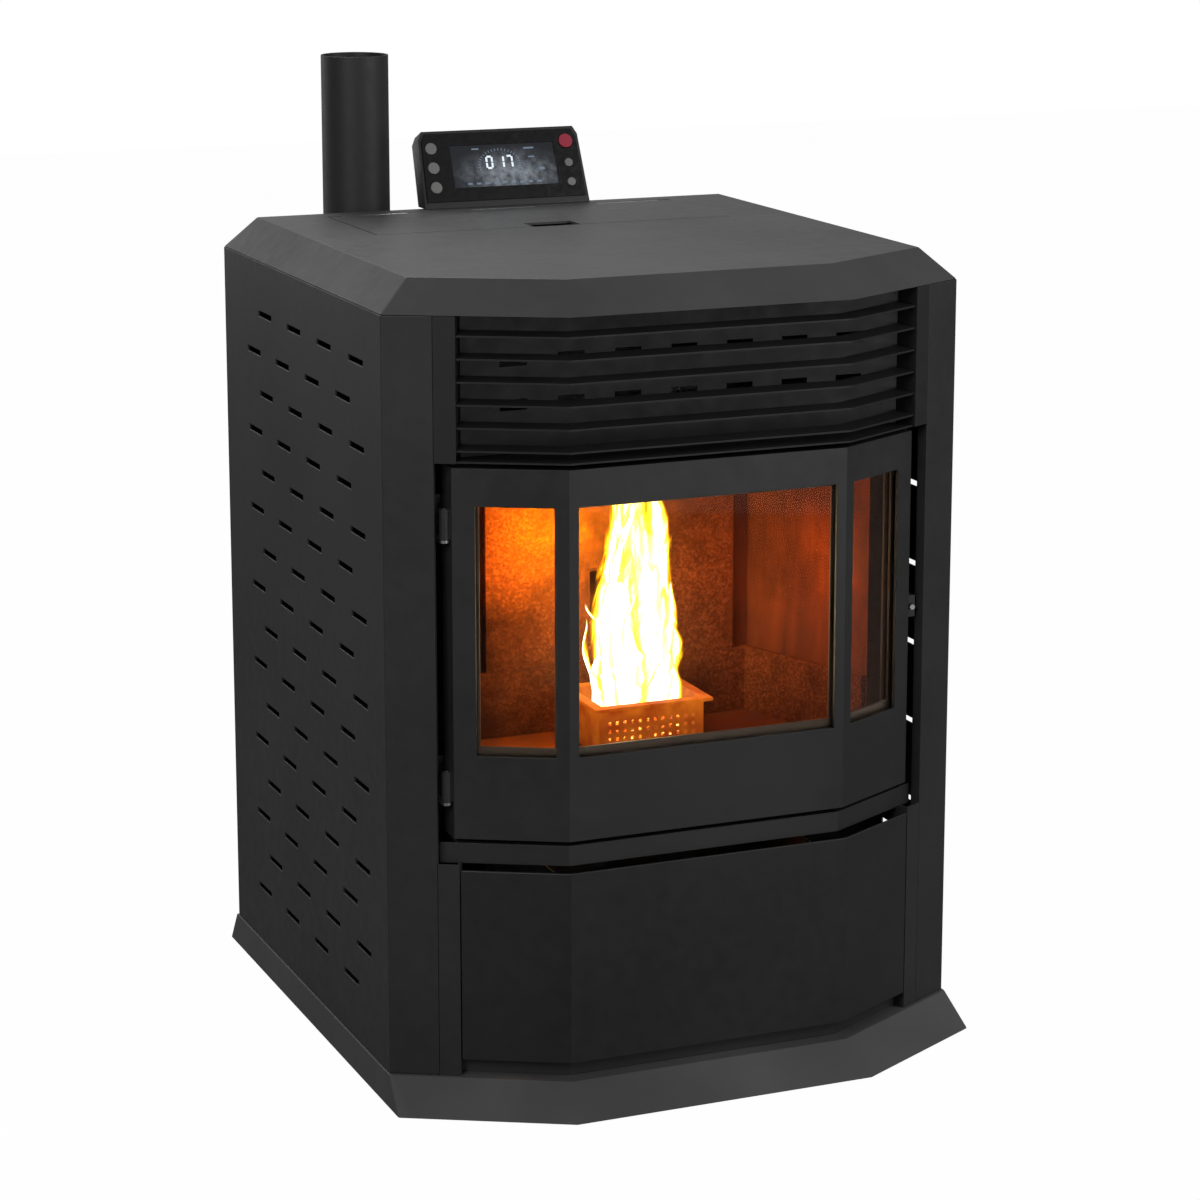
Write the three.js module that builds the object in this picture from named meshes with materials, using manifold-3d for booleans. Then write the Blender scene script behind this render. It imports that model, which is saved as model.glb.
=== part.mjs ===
// Pellet stove with a bay front: casing, glazed fire door, fire chamber, pellet feed, fans,
// flue and console.
// Millimetres, +Z up, +X to the right of someone facing the stove, -Y towards that person.

import * as THREE from 'three';
import { mergeGeometries, mergeVertices } from 'three/addons/utils/BufferGeometryUtils.js';
import { ConvexGeometry } from 'three/addons/geometries/ConvexGeometry.js';
import Module from 'manifold-3d';

const wasm = await Module();
wasm.setup();

// ---- Clearances ----
const seat = 0.3;                 // between pieces that touch
const running = 0.4;              // round pins, shafts and buttons
const reveal = 1.2;               // round the hopper lid and the drawer front

// ---- Casing ----
const casingWidth = 660;
const casingDepth = 556;          // rear face back to the front corners
const eavesHeight = 843;          // lower edge of the top plate
const casingSheet = 2.5;
const bayWidth = 320;             // centre facet of the front
const bayDepth = 92;              // bay tip in front of the front corners
const pillarWidth = 53;           // folded front edge of a side panel
const pillarReturn = 12;
const stripWidth = 23;            // strip between a pillar and the grille or drawer front

const slotLength = 48;
const slotHeight = 6;
const slotRows = 16;
const slotsPerRow = 4;
const slotRowPitch = 45.8;
const slotPitch = 106;
const slotStagger = 44;
const firstSlot = 81;             // centre of the first slot behind the front corner
const topSlotDrop = 59;           // first row below the eaves

const plinthHeight = 31;
const plinthSheet = 3;
const plinthLip = 4;              // plinth top outside the casing
const plinthFrontFlare = 46;      // foot outside the casing at the three front facets
const plinthSideFlare = 8;
const plinthFlange = 34;          // ledge under the casing

// ---- Top plate and hopper lid ----
const topRise = 34;
const topInset = 36;              // bevel in from the sides and front facets
const topRearInset = 15;
const topSheet = 3;
const lidWidth = 430;
const lidDepth = 167;
const lidFront = 341;             // behind the front corners
const notchWidth = 58;
const notchDepth = 32;
const hingeBarrel = 4;
const hingeRod = 2;
const rodLength = 400;

// ---- Grille ----
const grilleFoot = 691;
const louvreCount = 6;
const louvreFootGap = 12.5;
const louvreHeadGap = 21;
const louvreDepth = 20;
const louvreRise = 3;
const louvreSheet = 2;
const endPlateDepth = 26;
const outletBack = 16;            // outlet plate in front of the front corners
const outletSlotWidth = 30;
const outletSlotHeight = 12;
const outletSlotPitch = 64;
const outletSlotsPerRow = 7;
const outletRowPitch = 46;

// ---- Fire door ----
const doorFoot = 290;
const doorHead = 685;
const doorStart = 70;             // along the facet from the front corner
const doorInset = 8;              // door face behind the casing's facets
const doorSheet = 4;
const doorBack = 2;
const doorFlange = 20;
const paneFoot = 380;
const paneHead = 646;
const centrePaneMargin = 13;      // centre pane in from the bends
const sidePaneStart = 94;         // along the facet from the front corner
const sidePaneMargin = 15.3;      // side pane in from the bend
const glassThickness = 4;
const glassLap = 8;
const retainerSheet = 2.5;
const retainerSide = 3;
const retainerFoot = 9;
const gasketThickness = 6;
const gasketWidth = 12;

const hingeAlong = 62;
const hingeInset = 9;
const pinRadius = 3;
const knuckleRadius = 5;
const knuckleLength = 32;
const knuckleFeet = [330, 610];
const bracketThickness = 3;
const bracketWidth = 10;
const bracketPlate = 33;

const latchHeight = 488;
const latchOut = 5.5;             // spindle outside the door's end wall
const spindleRadius = 3;
const latchEarHeight = 24;
const camLength = 18;
const camThickness = 3;

// ---- Fire chamber ----
const flangeMargin = 2.6;         // chamber flange inside the door's edge
const chamberSheet = 3;
const chamberStep = 26;           // side walls in from the flange's edge, at the front
const chamberTaper = 66;          // how far each side wall leans in towards the rear
const chamberDepth = 178;
const chamberFloor = 330;
const chamberCeiling = 672;
const mouthLip = 4;               // round the chamber's open front
const linerHeight = 75;
const linerThickness = 8;
const backPlateStep = 20;         // plate in from the chamber's rear corners
const backPlateDrop = 32;         // plate below the chamber's ceiling
const backPlateThickness = 8;
const baffleThickness = 6;
const baffleDepth = 136;
const ashSlotWidth = 280;
const ashSlotDepth = 26;
const ashSlotStep = 8;            // slot behind the flange
const exhaustHoleStep = 10;       // hole in from the duct's sides
const exhaustHoleDrop = 2;

const potWidth = 124;
const potDepth = 95;
const potHeight = 56;
const potWall = 4;
const potFront = 66;
const potRim = 8;
const potRimThickness = 4;
const potHole = 4;
const potHolePitch = 9;
const potHoleRows = 4;
const potHoleColumns = 12;
const potSeatStep = 12;           // opening under the pot, in from its walls
const airBoxHeight = 58;
const airBoxWidth = 208;
const airBoxDepth = 104;
const airBoxSheet = 2;
const igniterRadius = 6;
const igniterLength = 70;
const igniterTail = 18;
const igniterCollar = 5;
const igniterX = -25;

// ---- Ash drawer ----
const drawerFoot = 49;
const drawerHead = 258;
const drawerSheet = 3;
const ashBoxWidth = 300;
const ashBoxLength = 278;
const ashBoxFoot = 66;
const ashBoxHead = 236;
const ashBoxWall = 2;
const runnerWidth = 30;
const runnerLip = 14;
const runnerLength = 230;
const sillFoot = 264;
const sillHead = 284;
const sillInset = 14;
const railHead = 46;

// ---- Pellet feed ----
const hopperSheet = 2;
const hopperFlange = 18;
const throatWidth = 60;
const throatHeight = 480;
const throatFront = 358;
const mouthStep = 8;              // hopper's mouth inside the lid
const traySide = 10;              // finger tray outside the lid's notch
const trayBack = 12;
const trayDrop = 4;
const augerTilt = 42;             // degrees above the horizontal
const augerTubeRadius = 30;
const augerTubeWall = 2.5;
const augerTubeLength = 292;
const augerBack = 455;            // centre of the tube's lower end
const augerBottom = 345;
const augerFlange = 76;
const augerFlangeThickness = 3;
const collarDepth = 80;           // collar from the hopper's throat down into the tube
const collarLedge = 3;
const augerShaftRadius = 8;
const shaftTail = 20;             // shaft below the tube, into its motor
const shaftHeadGap = 5;
const flightStart = 14;
const flightPitch = 42;
const flightTurns = 6;
const flightThickness = 3;
const flightClearance = 2;
const augerMotorSize = 62;
const augerMotorLength = 62;
const augerMotorNose = 32;
const augerMotorNeck = 6;         // nose inside the gearbox's sides
const motorBore = 26;
const chuteWidth = 56;
const chuteSheet = 2;
const chuteFoot = 452;
const chuteHeight = 60;
const chuteRun = 52;              // slope behind the chamber
const chuteRise = 50;
const outletWidth = 44;           // opening under the auger tube's upper end
const outletLength = 24;
const outletEnd = 6;

// ---- Exhaust and flue ----
const flueX = -150;
const flueBack = 52;              // pipe axis behind the rear panel
const flueTop = 1055;
const pipeRadius = 40;
const pipeWall = 1.5;
const pipeOverlap = 50;
const teeFoot = 130;
const teeHead = 330;
const spigotHeight = 215;
const capFlange = 4;
const capRim = 4;
const capDepth = 22;
const voluteRadius = 82;
const voluteWidth = 46;
const voluteSheet = 2.5;
const voluteY = 330;
const voluteInlet = 30;
const voluteShaftHole = 7;
const impellerRadius = 60;
const impellerBlades = 10;
const impellerDisc = 3;
const impellerWidth = 28;
const impellerHub = 12;
const bladeRoot = 24;
const bladeThickness = 2;
const fanShaftRadius = 4;
const fanShaftTail = 22;
const exhaustMotorRadius = 36;
const exhaustMotorLength = 48;
const exhaustMotorNeck = 14;
const ductOffset = 50;            // duct's left side from the pipe axis
const ductWidth = 60;
const ductDepth = 34;
const ductSheet = 2;
const ductFoot = 175;
const ductLegHead = 262;
const ductLegReach = 44;          // duct's foot behind the fan's axis

// ---- Air ----
const intakeX = 75;
const intakeRadius = 25;
const intakeWall = 1.5;
const intakeBack = 20;
const drumRadius = 28;
const drumLength = 230;
const drumBlades = 14;
const drumShaftRadius = 4;
const drumShaftTail = 22;
const drumDisc = 2;
const drumBladeDepth = 8.5;
const drumBladeThickness = 1.6;
const drumEndGap = 3;
const drumGap = 5;
const blowerLeft = -10;
const blowerY = 300;
const blowerZ = 102;
const blowerSize = 90;
const blowerSheet = 2;
const blowerOutlet = 24;
const blowerInlet = 32;
const blowerMotorRadius = 26;
const blowerMotorLength = 40;
const hotDuctStep = 6;            // duct inside the chamber's front width
const hotDuctHeight = 150;
const hotDuctBack = 326;
const hotDuctSheet = 2;
const hotDuctSideLip = 30;
const hotDuctBackLip = 12;

// ---- Console and electrics ----
const consoleFront = 530;
const consoleX = 14;               // console's middle, right of the stove's
const consoleWidth = 209;
const consoleTopWidth = 203;
const consoleHeight = 95;
const consoleThickness = 24;
const consoleLean = 23;           // degrees back from the vertical
const consoleCorner = 10;         // slanting top corners
const fasciaThickness = 1.5;
const fasciaMargin = 3.5;
const fasciaFoot = 7.5;
const displayLeft = -66;
const displayWidth = 136;
const displayFoot = 22;
const displayHeight = 56;
const displayThickness = 3;
const buttonDepth = 6;
const buttonProud = 1.5;
const buttonTravel = 1.2;
const buttonPitch = 24;
const lowestButton = 25;
const leftButtons = -88;
const rightButtons = 84;
const leftButtonRadius = 7;
const rightButtonRadius = 5;
const powerButtonRadius = 8.5;
const powerButtonLift = 3;
const grey = 0x8a8a88;
const red = 0xc4405a;
const domed = { x: leftButtons, lift: 0, radius: leftButtonRadius, colour: grey };
const small = { x: rightButtons, lift: 0, radius: rightButtonRadius, colour: grey };
const power = { x: rightButtons, lift: powerButtonLift, radius: powerButtonRadius, colour: red };
const buttons = [
  { name: 'button_left_upper', row: 2, ...domed },
  { name: 'button_left_middle', row: 1, ...domed },
  { name: 'button_left_lower', row: 0, ...domed },
  { name: 'button_power', row: 2, ...power },
  { name: 'button_right_middle', row: 1, ...small },
  { name: 'button_right_lower', row: 0, ...small },
];
const boardWidth = 120;
const boardHeight = 90;
const boardThickness = 2;
const boardInset = 140;           // board's centre in from the right side
const boardZ = 260;
const standoff = 8;
const postRadius = 3;
const postMargin = 6;
const transformer = { x: -22, z: -3, width: 35, height: 45, depth: 25 };
const terminals = { x: 30, z: -24, width: 40, height: 20, depth: 13 };
const relay = { x: 21, z: 18, width: 18, height: 25, depth: 17 };
const inletWidth = 30;
const inletHeight = 24;
const inletWall = 3;
const inletDepth = 20;
const inletRim = 5;
const inletInset = 100;           // socket's centre in from the right side
const inletZ = 112;
const switchWidth = 20;
const switchHeight = 28;
const switchZ = 150;
const rockerDepth = 9;
const rockerPivot = 1.5;

// ---- Derived places ----
const halfWidth = casingWidth / 2;
const halfBay = bayWidth / 2;
const facetAngle = Math.atan2(bayDepth, halfWidth - halfBay);
const facetLength = Math.hypot(bayDepth, halfWidth - halfBay);
const centrePaneWidth = bayWidth - 2 * centrePaneMargin;
const sidePaneWidth = facetLength - sidePaneMargin - sidePaneStart;
const topHeight = eavesHeight + topRise;
const casingFoot = plinthHeight + seat;
const floorTop = casingFoot + casingSheet;
const flangeFront = doorBack + seat + gasketThickness + seat;
const flangeBack = flangeFront + chamberSheet;
const chamberBack = flangeBack + chamberDepth;
const stripStart = pillarWidth + seat;
const stripEnd = stripStart + stripWidth;
const pipeY = casingDepth + flueBack;
const socketRadius = pipeRadius + seat + pipeWall;
const chuteHead = chuteFoot + chuteHeight;
const boardX = halfWidth - boardInset;
const inletX = halfWidth - inletInset;
const augerDown = THREE.MathUtils.degToRad(90 - augerTilt);
const frontReach = bayDepth + plinthFrontFlare;
const rearReach = casingDepth + flueBack + socketRadius + capRim;

// ---- Solids ----

function solidOf(geometry) {
  const bare = geometry.clone();
  bare.deleteAttribute('normal');
  bare.deleteAttribute('uv');
  const merged = mergeVertices(bare, 1e-4);
  return new wasm.Manifold(new wasm.Mesh({
    numProp: 3,
    vertProperties: new Float32Array(merged.attributes.position.array),
    triVerts: new Uint32Array(merged.index.array),
  }));
}

function geometryOf(solid) {
  const mesh = solid.getMesh();
  const geometry = new THREE.BufferGeometry();
  geometry.setAttribute('position', new THREE.BufferAttribute(new Float32Array(mesh.vertProperties), 3));
  geometry.setIndex(new THREE.BufferAttribute(new Uint32Array(mesh.triVerts), 1));
  geometry.computeVertexNormals();
  return geometry;
}

function join(...parts) {
  return geometryOf(parts.map(solidOf).reduce((whole, part) => whole.add(part)));
}

function cut(base, ...tools) {
  return geometryOf(tools.map(solidOf).reduce((whole, tool) => whole.subtract(tool), solidOf(base)));
}

function box(x0, x1, y0, y1, z0, z1) {
  return new THREE.BoxGeometry(x1 - x0, y1 - y0, z1 - z0)
    .translate((x0 + x1) / 2, (y0 + y1) / 2, (z0 + z1) / 2);
}

// Many boxes that don't touch each other, as one tool for cutting.
function boxes(list) {
  return mergeGeometries(list.map((sizes) => box(...sizes)));
}

// A plan outline raised from one height to another.
function prism(outline, z0, z1) {
  return new THREE.ExtrudeGeometry(new THREE.Shape(outline), { depth: z1 - z0, bevelEnabled: false })
    .translate(0, 0, z0);
}

function hull(points) {
  return new ConvexGeometry(points);
}

// A round bar from z0 to z1, standing on the origin.
function bar(radius, z0, z1, segments = 24) {
  return new THREE.CylinderGeometry(radius, radius, z1 - z0, segments)
    .rotateX(Math.PI / 2)
    .translate(0, 0, (z0 + z1) / 2);
}

// The two ends of a length that is centred on a place.
function around(middle, length) {
  return [middle - length / 2, middle + length / 2];
}

// The same bar along X or Y, through a point of the other two coordinates.
function barX(radius, x0, x1, y, z, segments = 24) {
  return bar(radius, x0, x1, segments).rotateY(Math.PI / 2).translate(0, y, z);
}

function barY(radius, y0, y1, x, z, segments = 24) {
  return bar(radius, -y1, -y0, segments).rotateX(Math.PI / 2).translate(x, 0, z);
}

function barZ(radius, z0, z1, x, y, segments = 24) {
  return bar(radius, z0, z1, segments).translate(x, y, 0);
}

// A skin over stations, each a loop of the same number of points, with flat ends.
function sweep(stations) {
  const count = stations[0].length;
  const positions = stations.flat().flatMap((point) => [point.x, point.y, point.z]);
  const faces = [];
  for (let s = 0; s < stations.length - 1; s += 1) {
    for (let i = 0; i < count; i += 1) {
      const a = s * count + i;
      const b = s * count + (i + 1) % count;
      faces.push(a, b, b + count, a, b + count, a + count);
    }
  }
  const last = (stations.length - 1) * count;
  for (let i = 1; i < count - 1; i += 1) {
    faces.push(0, i + 1, i, last, last + i, last + i + 1);
  }
  const geometry = new THREE.BufferGeometry();
  geometry.setAttribute('position', new THREE.Float32BufferAttribute(positions, 3));
  geometry.setIndex(faces);
  return geometry;
}

// ---- The bay front ----

// A point of a side facet: along it from the front corner, and inset behind its face.
function facetPoint(side, along, inset) {
  const x = halfWidth - along * Math.cos(facetAngle) - inset * Math.sin(facetAngle);
  const y = -along * Math.sin(facetAngle) + inset * Math.cos(facetAngle);
  return new THREE.Vector2(side * x, y);
}

// The bend between a side facet and the centre facet.
function bendPoint(side, inset) {
  return new THREE.Vector2(side * (halfBay - inset * Math.tan(facetAngle / 2)), -bayDepth + inset);
}

// The four points of the bay line from the left end to the right end.
function bayLine(along, inset) {
  const left = [facetPoint(-1, along, inset), bendPoint(-1, inset)];
  return [...left, bendPoint(1, inset), facetPoint(1, along, inset)];
}

// An upright sheet that follows the bay.
function baySheet(along, inset, thickness, z0, z1) {
  return prism([...bayLine(along, inset), ...bayLine(along, inset + thickness).reverse()], z0, z1);
}

// A window through a side facet, right through a sheet of the given place.
function facetWindow(side, along, width, inset, thickness, z0, z1) {
  const outline = [
    facetPoint(side, along, inset - 2),
    facetPoint(side, along + width, inset - 2),
    facetPoint(side, along + width, inset + thickness + 2),
    facetPoint(side, along, inset + thickness + 2),
  ];
  return prism(outline, z0, z1);
}

// The casing's outline seen from above, drawn in from the sides, front facets and rear.
function outline(side, front, rear) {
  const x = halfWidth - side;
  const cornerY = (front - side * Math.sin(facetAngle)) / Math.cos(facetAngle);
  return [
    new THREE.Vector2(-x, casingDepth - rear),
    new THREE.Vector2(-x, cornerY),
    bendPoint(-1, front),
    bendPoint(1, front),
    new THREE.Vector2(x, cornerY),
    new THREE.Vector2(x, casingDepth - rear),
  ];
}

function atHeight(points, z) {
  return points.map((point) => new THREE.Vector3(point.x, point.y, z));
}

function frustum(lower, z0, upper, z1) {
  return hull([...atHeight(lower, z0), ...atHeight(upper, z1)]);
}

// ---- Casing pieces ----

function plinth() {
  const foot = outline(-plinthSideFlare, -plinthFrontFlare, -plinthSideFlare);
  const head = outline(-plinthLip / 2, -plinthLip, -plinthLip / 2);
  const innerFoot = outline(-plinthSideFlare + plinthSheet, -plinthFrontFlare + plinthSheet,
    -plinthSideFlare + plinthSheet);
  const innerHead = outline(plinthSheet, plinthSheet, plinthSheet);
  return cut(
    frustum(foot, 0, head, plinthHeight),
    frustum(innerFoot, -1, innerHead, plinthHeight - plinthSheet),
    prism(outline(plinthFlange, plinthFlange, plinthFlange), 0, plinthHeight + 1),
  );
}

function basePan() {
  const gap = casingSheet + seat;
  return prism(outline(gap, endPlateDepth + seat, gap), casingFoot, floorTop);
}

function sidePanelSheet(side) {
  const inner = casingSheet;
  const cornerY = (inner - inner * Math.sin(facetAngle)) / Math.cos(facetAngle);
  const back = casingDepth - casingSheet - seat;
  const profile = [
    new THREE.Vector2(side * halfWidth, back),
    new THREE.Vector2(side * halfWidth, 0),
    facetPoint(side, pillarWidth, 0),
    facetPoint(side, pillarWidth, pillarReturn),
    facetPoint(side, pillarWidth - inner, pillarReturn),
    facetPoint(side, pillarWidth - inner, inner),
    new THREE.Vector2(side * (halfWidth - inner), cornerY),
    new THREE.Vector2(side * (halfWidth - inner), back),
  ];
  return prism(profile, casingFoot, eavesHeight - seat);
}

function sideSlots(side) {
  const list = [];
  const x = side * halfWidth;
  for (let row = 0; row < slotRows; row += 1) {
    const z = eavesHeight - topSlotDrop - row * slotRowPitch;
    for (let column = 0; column < slotsPerRow; column += 1) {
      const y = firstSlot + column * slotPitch + (row % 2) * slotStagger;
      list.push([x - 5, x + 5, ...around(y, slotLength), ...around(z, slotHeight)]);
    }
  }
  return boxes(list);
}

function sidePanel(side) {
  return cut(sidePanelSheet(side), sideSlots(side));
}

function rearPanel() {
  const y0 = casingDepth - casingSheet;
  const vents = [];
  for (let row = 0; row < 5; row += 1) {
    for (let column = 0; column < 3; column += 1) {
      const x = blowerLeft + 40 + column * 74;
      const z = blowerZ - 36 + row * 18;
      vents.push([x - 28, x + 28, y0 - 2, casingDepth + 2, z - 3, z + 3]);
    }
  }
  return cut(
    box(-halfWidth, halfWidth, y0, casingDepth, casingFoot, eavesHeight - seat),
    barY(pipeRadius + 2, y0 - 2, casingDepth + 2, flueX, spigotHeight, 28),
    barY(intakeRadius + seat, y0 - 2, casingDepth + 2, intakeX, airPipeHeight()),
    box(inletX - inletWidth / 2 - seat, inletX + inletWidth / 2 + seat, y0 - 2, casingDepth + 2,
      inletZ - inletHeight / 2 - seat, switchZ + switchHeight / 2 + seat),
    boxes(vents),
  );
}

// ---- Top plate, lid and lid hinge ----

const lidBack = lidFront + lidDepth;
const lidAxisY = lidBack + hingeBarrel + 0.5;
const lidAxisZ = topHeight - hingeBarrel;
const knuckle = rodLength / 5;    // five knuckles share the rod

function topPlate() {
  const slope = topInset / topRise;
  const rearSlope = topRearInset / topRise;
  const wall = topSheet * Math.hypot(1, slope);
  const innerTop = topHeight - topSheet;
  const inner = (z) => {
    const rise = z - eavesHeight;
    return outline(rise * slope + wall, rise * slope + wall, rise * rearSlope + wall);
  };
  const openBack = lidAxisY + hingeBarrel + 0.5;
  return cut(
    frustum(outline(0, 0, 0), eavesHeight, outline(topInset, topInset, topRearInset), topHeight),
    frustum(inner(eavesHeight - 2), eavesHeight - 2, inner(innerTop), innerTop),
    box(...around(0, lidWidth + 2 * reveal), lidFront - reveal, openBack, innerTop - 1, topHeight + 1),
  );
}

// Knuckle n of five along the lid's rod, joined to its leaf by a tab between y0 and y1.
function lidKnuckle(n, y0, y1, z0, z1) {
  const x0 = -rodLength / 2 + n * knuckle + (n > 0 ? seat / 2 : 0);
  const x1 = -rodLength / 2 + (n + 1) * knuckle - (n < 4 ? seat / 2 : 0);
  return [barX(hingeBarrel, x0, x1, lidAxisY, lidAxisZ, 16), box(x0, x1, y0, y1, z0, z1)];
}

function rodBore() {
  return barX(hingeRod + running, -rodLength / 2 - 1, rodLength / 2 + 1, lidAxisY, lidAxisZ, 12);
}

function hopperLid() {
  const z0 = topHeight - topSheet;
  const plate = cut(
    box(-lidWidth / 2, lidWidth / 2, lidFront, lidBack, z0, topHeight),
    box(-notchWidth / 2, notchWidth / 2, lidFront - 1, lidFront + notchDepth, z0 - 1, topHeight + 1),
  );
  const moving = [1, 3].flatMap((n) => lidKnuckle(n, lidBack - 2, lidAxisY, z0, topHeight));
  return cut(join(plate, ...moving), rodBore());
}

// The fixed leaf, with the rod that its own knuckles hold.
function lidHingeLeaf() {
  const z1 = topHeight - topSheet - seat;
  const z0 = z1 - 2.5;
  const leafFront = lidAxisY + hingeBarrel + 0.6;
  const leaf = box(-rodLength / 2, rodLength / 2, leafFront, leafFront + 11, z0, z1);
  const fixed = [0, 2, 4].flatMap((n) => lidKnuckle(n, lidAxisY, leafFront + 1, z0, z1));
  const rod = barX(hingeRod, -rodLength / 2 + 1, rodLength / 2 - 1, lidAxisY, lidAxisZ, 12);
  return join(leaf, ...fixed, rod);
}

// ---- Grille ----

function louvre(n) {
  const span = eavesHeight - grilleFoot - louvreFootGap - louvreHeadGap;
  const z = grilleFoot + louvreFootGap + span * n / (louvreCount - 1);
  const section = [
    [2, 0],
    [2 + louvreDepth, louvreRise],
    [2 + louvreDepth, louvreRise + louvreSheet],
    [2, louvreSheet],
  ];
  const lines = section.map(([inset, up]) => bayLine(stripEnd - 1, inset)
    .map((point) => new THREE.Vector3(point.x, point.y, z + up - louvreSheet / 2)));
  return sweep([0, 1, 2, 3].map((station) => lines.map((line) => line[station])));
}

function grilleStrip(side, z0, z1) {
  const profile = [
    facetPoint(side, stripStart, 0),
    facetPoint(side, stripEnd, 0),
    facetPoint(side, stripEnd, endPlateDepth),
    facetPoint(side, stripEnd - casingSheet, endPlateDepth),
    facetPoint(side, stripEnd - casingSheet, casingSheet),
    facetPoint(side, stripStart, casingSheet),
  ];
  return prism(profile, z0, z1);
}

// A level sheet from z0 to z1, from the bay line at this inset back to just behind the door.
function shelf(inset, z0, z1) {
  const line = bayLine(stripEnd - casingSheet, inset + casingSheet / 2);
  const back = doorBack + 2;
  const rear = [new THREE.Vector2(line[3].x, back), new THREE.Vector2(line[0].x, back)];
  return prism([...line, ...rear], z0, z1);
}

function grille() {
  const louvres = Array.from({ length: louvreCount }, (_, n) => louvre(n));
  return join(
    grilleStrip(-1, grilleFoot, eavesHeight - seat),
    grilleStrip(1, grilleFoot, eavesHeight - seat),
    shelf(casingSheet / 2, grilleFoot, grilleFoot + louvreSheet),
    ...louvres,
  );
}

function outletPlate() {
  const end = facetPoint(1, stripEnd, endPlateDepth).x - seat;
  const z0 = grilleFoot + louvreSheet + seat;
  const middle = (grilleFoot + eavesHeight) / 2;
  const holes = [];
  for (const z of [middle - outletRowPitch / 2, middle + outletRowPitch / 2]) {
    for (let n = 0; n < outletSlotsPerRow; n += 1) {
      const x = (n - (outletSlotsPerRow - 1) / 2) * outletSlotPitch;
      holes.push([x - outletSlotWidth / 2, x + outletSlotWidth / 2, -outletBack - 2, -outletBack + 4,
        z - outletSlotHeight / 2, z + outletSlotHeight / 2]);
    }
  }
  return cut(box(-end, end, -outletBack, -outletBack + 2, z0, eavesHeight - 1), boxes(holes));
}

// ---- Lower front ----

function lowerFrame() {
  const railFoot = casingFoot;
  const strips = [-1, 1].map((side) => grilleStrip(side, railFoot, sillFoot));
  const sill = baySheet(stripStart, sillInset, casingSheet, sillFoot - 2, sillHead);
  const rail = baySheet(stripStart, sillInset, casingSheet, railFoot, railHead);
  return join(...strips, sill, rail, shelf(sillInset, sillHead - casingSheet, sillHead));
}

function drawerFront() {
  return baySheet(stripEnd + reveal, 0, drawerSheet, drawerFoot, drawerHead);
}

const ashBoxFront = -bayDepth + drawerSheet + seat;

function ashBox() {
  const x = ashBoxWidth / 2;
  const back = ashBoxFront + ashBoxLength;
  return cut(
    box(-x, x, ashBoxFront, back, ashBoxFoot, ashBoxHead),
    box(-x + ashBoxWall, x - ashBoxWall, ashBoxFront + ashBoxWall, back - ashBoxWall,
      ashBoxFoot + ashBoxWall, ashBoxHead + 1),
  );
}

function drawerRunner(side) {
  const inner = ashBoxWidth / 2 + seat;
  const back = ashBoxFront + ashBoxLength;
  const profile = [
    new THREE.Vector2(side * (inner - runnerWidth / 2), floorTop + seat),
    new THREE.Vector2(side * (inner + runnerWidth / 2), floorTop + seat),
    new THREE.Vector2(side * (inner + runnerWidth / 2), ashBoxFoot + runnerLip),
    new THREE.Vector2(side * inner, ashBoxFoot + runnerLip),
    new THREE.Vector2(side * inner, ashBoxFoot - seat),
    new THREE.Vector2(side * (inner - runnerWidth / 2), ashBoxFoot - seat),
  ];
  return prism(profile, -back, -back + runnerLength).rotateX(Math.PI / 2);
}

// ---- Fire door ----

const doorEnd = facetPoint(1, doorStart, doorInset);
const hingeAt = facetPoint(-1, hingeAlong, hingeInset);
const latchX = doorEnd.x + latchOut;

function doorBody() {
  const outer = bayLine(doorStart, doorInset);
  const inner = bayLine(doorStart + doorSheet, doorInset + doorSheet);
  const corner = (point, back) => new THREE.Vector2(point.x, back);
  const backed = (line, back) => [...line, corner(line[3], back), corner(line[0], back)];
  return cut(
    prism(backed(outer, doorBack), doorFoot, doorHead),
    prism(backed(inner, doorBack - doorSheet), doorFoot + doorSheet, doorHead - doorSheet),
    box(-doorEnd.x + doorFlange, doorEnd.x - doorFlange, -doorFlange, doorBack + 1,
      doorFoot + doorFlange, doorHead - doorFlange),
  );
}

function doorPanes() {
  const inset = doorInset;
  return [
    box(-centrePaneWidth / 2, centrePaneWidth / 2, -bayDepth, -bayDepth + inset + doorSheet + 2,
      paneFoot, paneHead),
    facetWindow(-1, sidePaneStart, sidePaneWidth, inset, doorSheet, paneFoot, paneHead),
    facetWindow(1, sidePaneStart, sidePaneWidth, inset, doorSheet, paneFoot, paneHead),
  ];
}

function doorKnuckles() {
  return knuckleFeet.flatMap((z) => [
    barZ(knuckleRadius, z, z + knuckleLength, hingeAt.x, hingeAt.y, 20),
    box(hingeAt.x, -doorEnd.x + 1, hingeAt.y - 2, hingeAt.y + 3, z, z + knuckleLength),
  ]);
}

function doorFrame() {
  const pinBores = knuckleFeet.map((z) => barZ(pinRadius + running, z - 1, z + knuckleLength + 1,
    hingeAt.x, hingeAt.y, 16));
  const earFront = doorEnd.y + 6;
  const ear = box(doorEnd.x - 1, latchX + spindleRadius + 2.5, earFront, earFront + 14,
    latchHeight - latchEarHeight / 2, latchHeight + latchEarHeight / 2);
  const earBore = barY(spindleRadius + running, earFront - 1, earFront + 15, latchX, latchHeight, 16);
  return cut(join(cut(doorBody(), ...doorPanes()), ...doorKnuckles(), ear), ...pinBores, earBore);
}

const glassInset = doorInset + doorSheet + seat;

function centreGlass() {
  const x = centrePaneWidth / 2 + glassLap;
  const y = -bayDepth + glassInset;
  return box(-x, x, y, y + glassThickness, paneFoot - glassLap, paneHead + glassLap);
}

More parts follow.
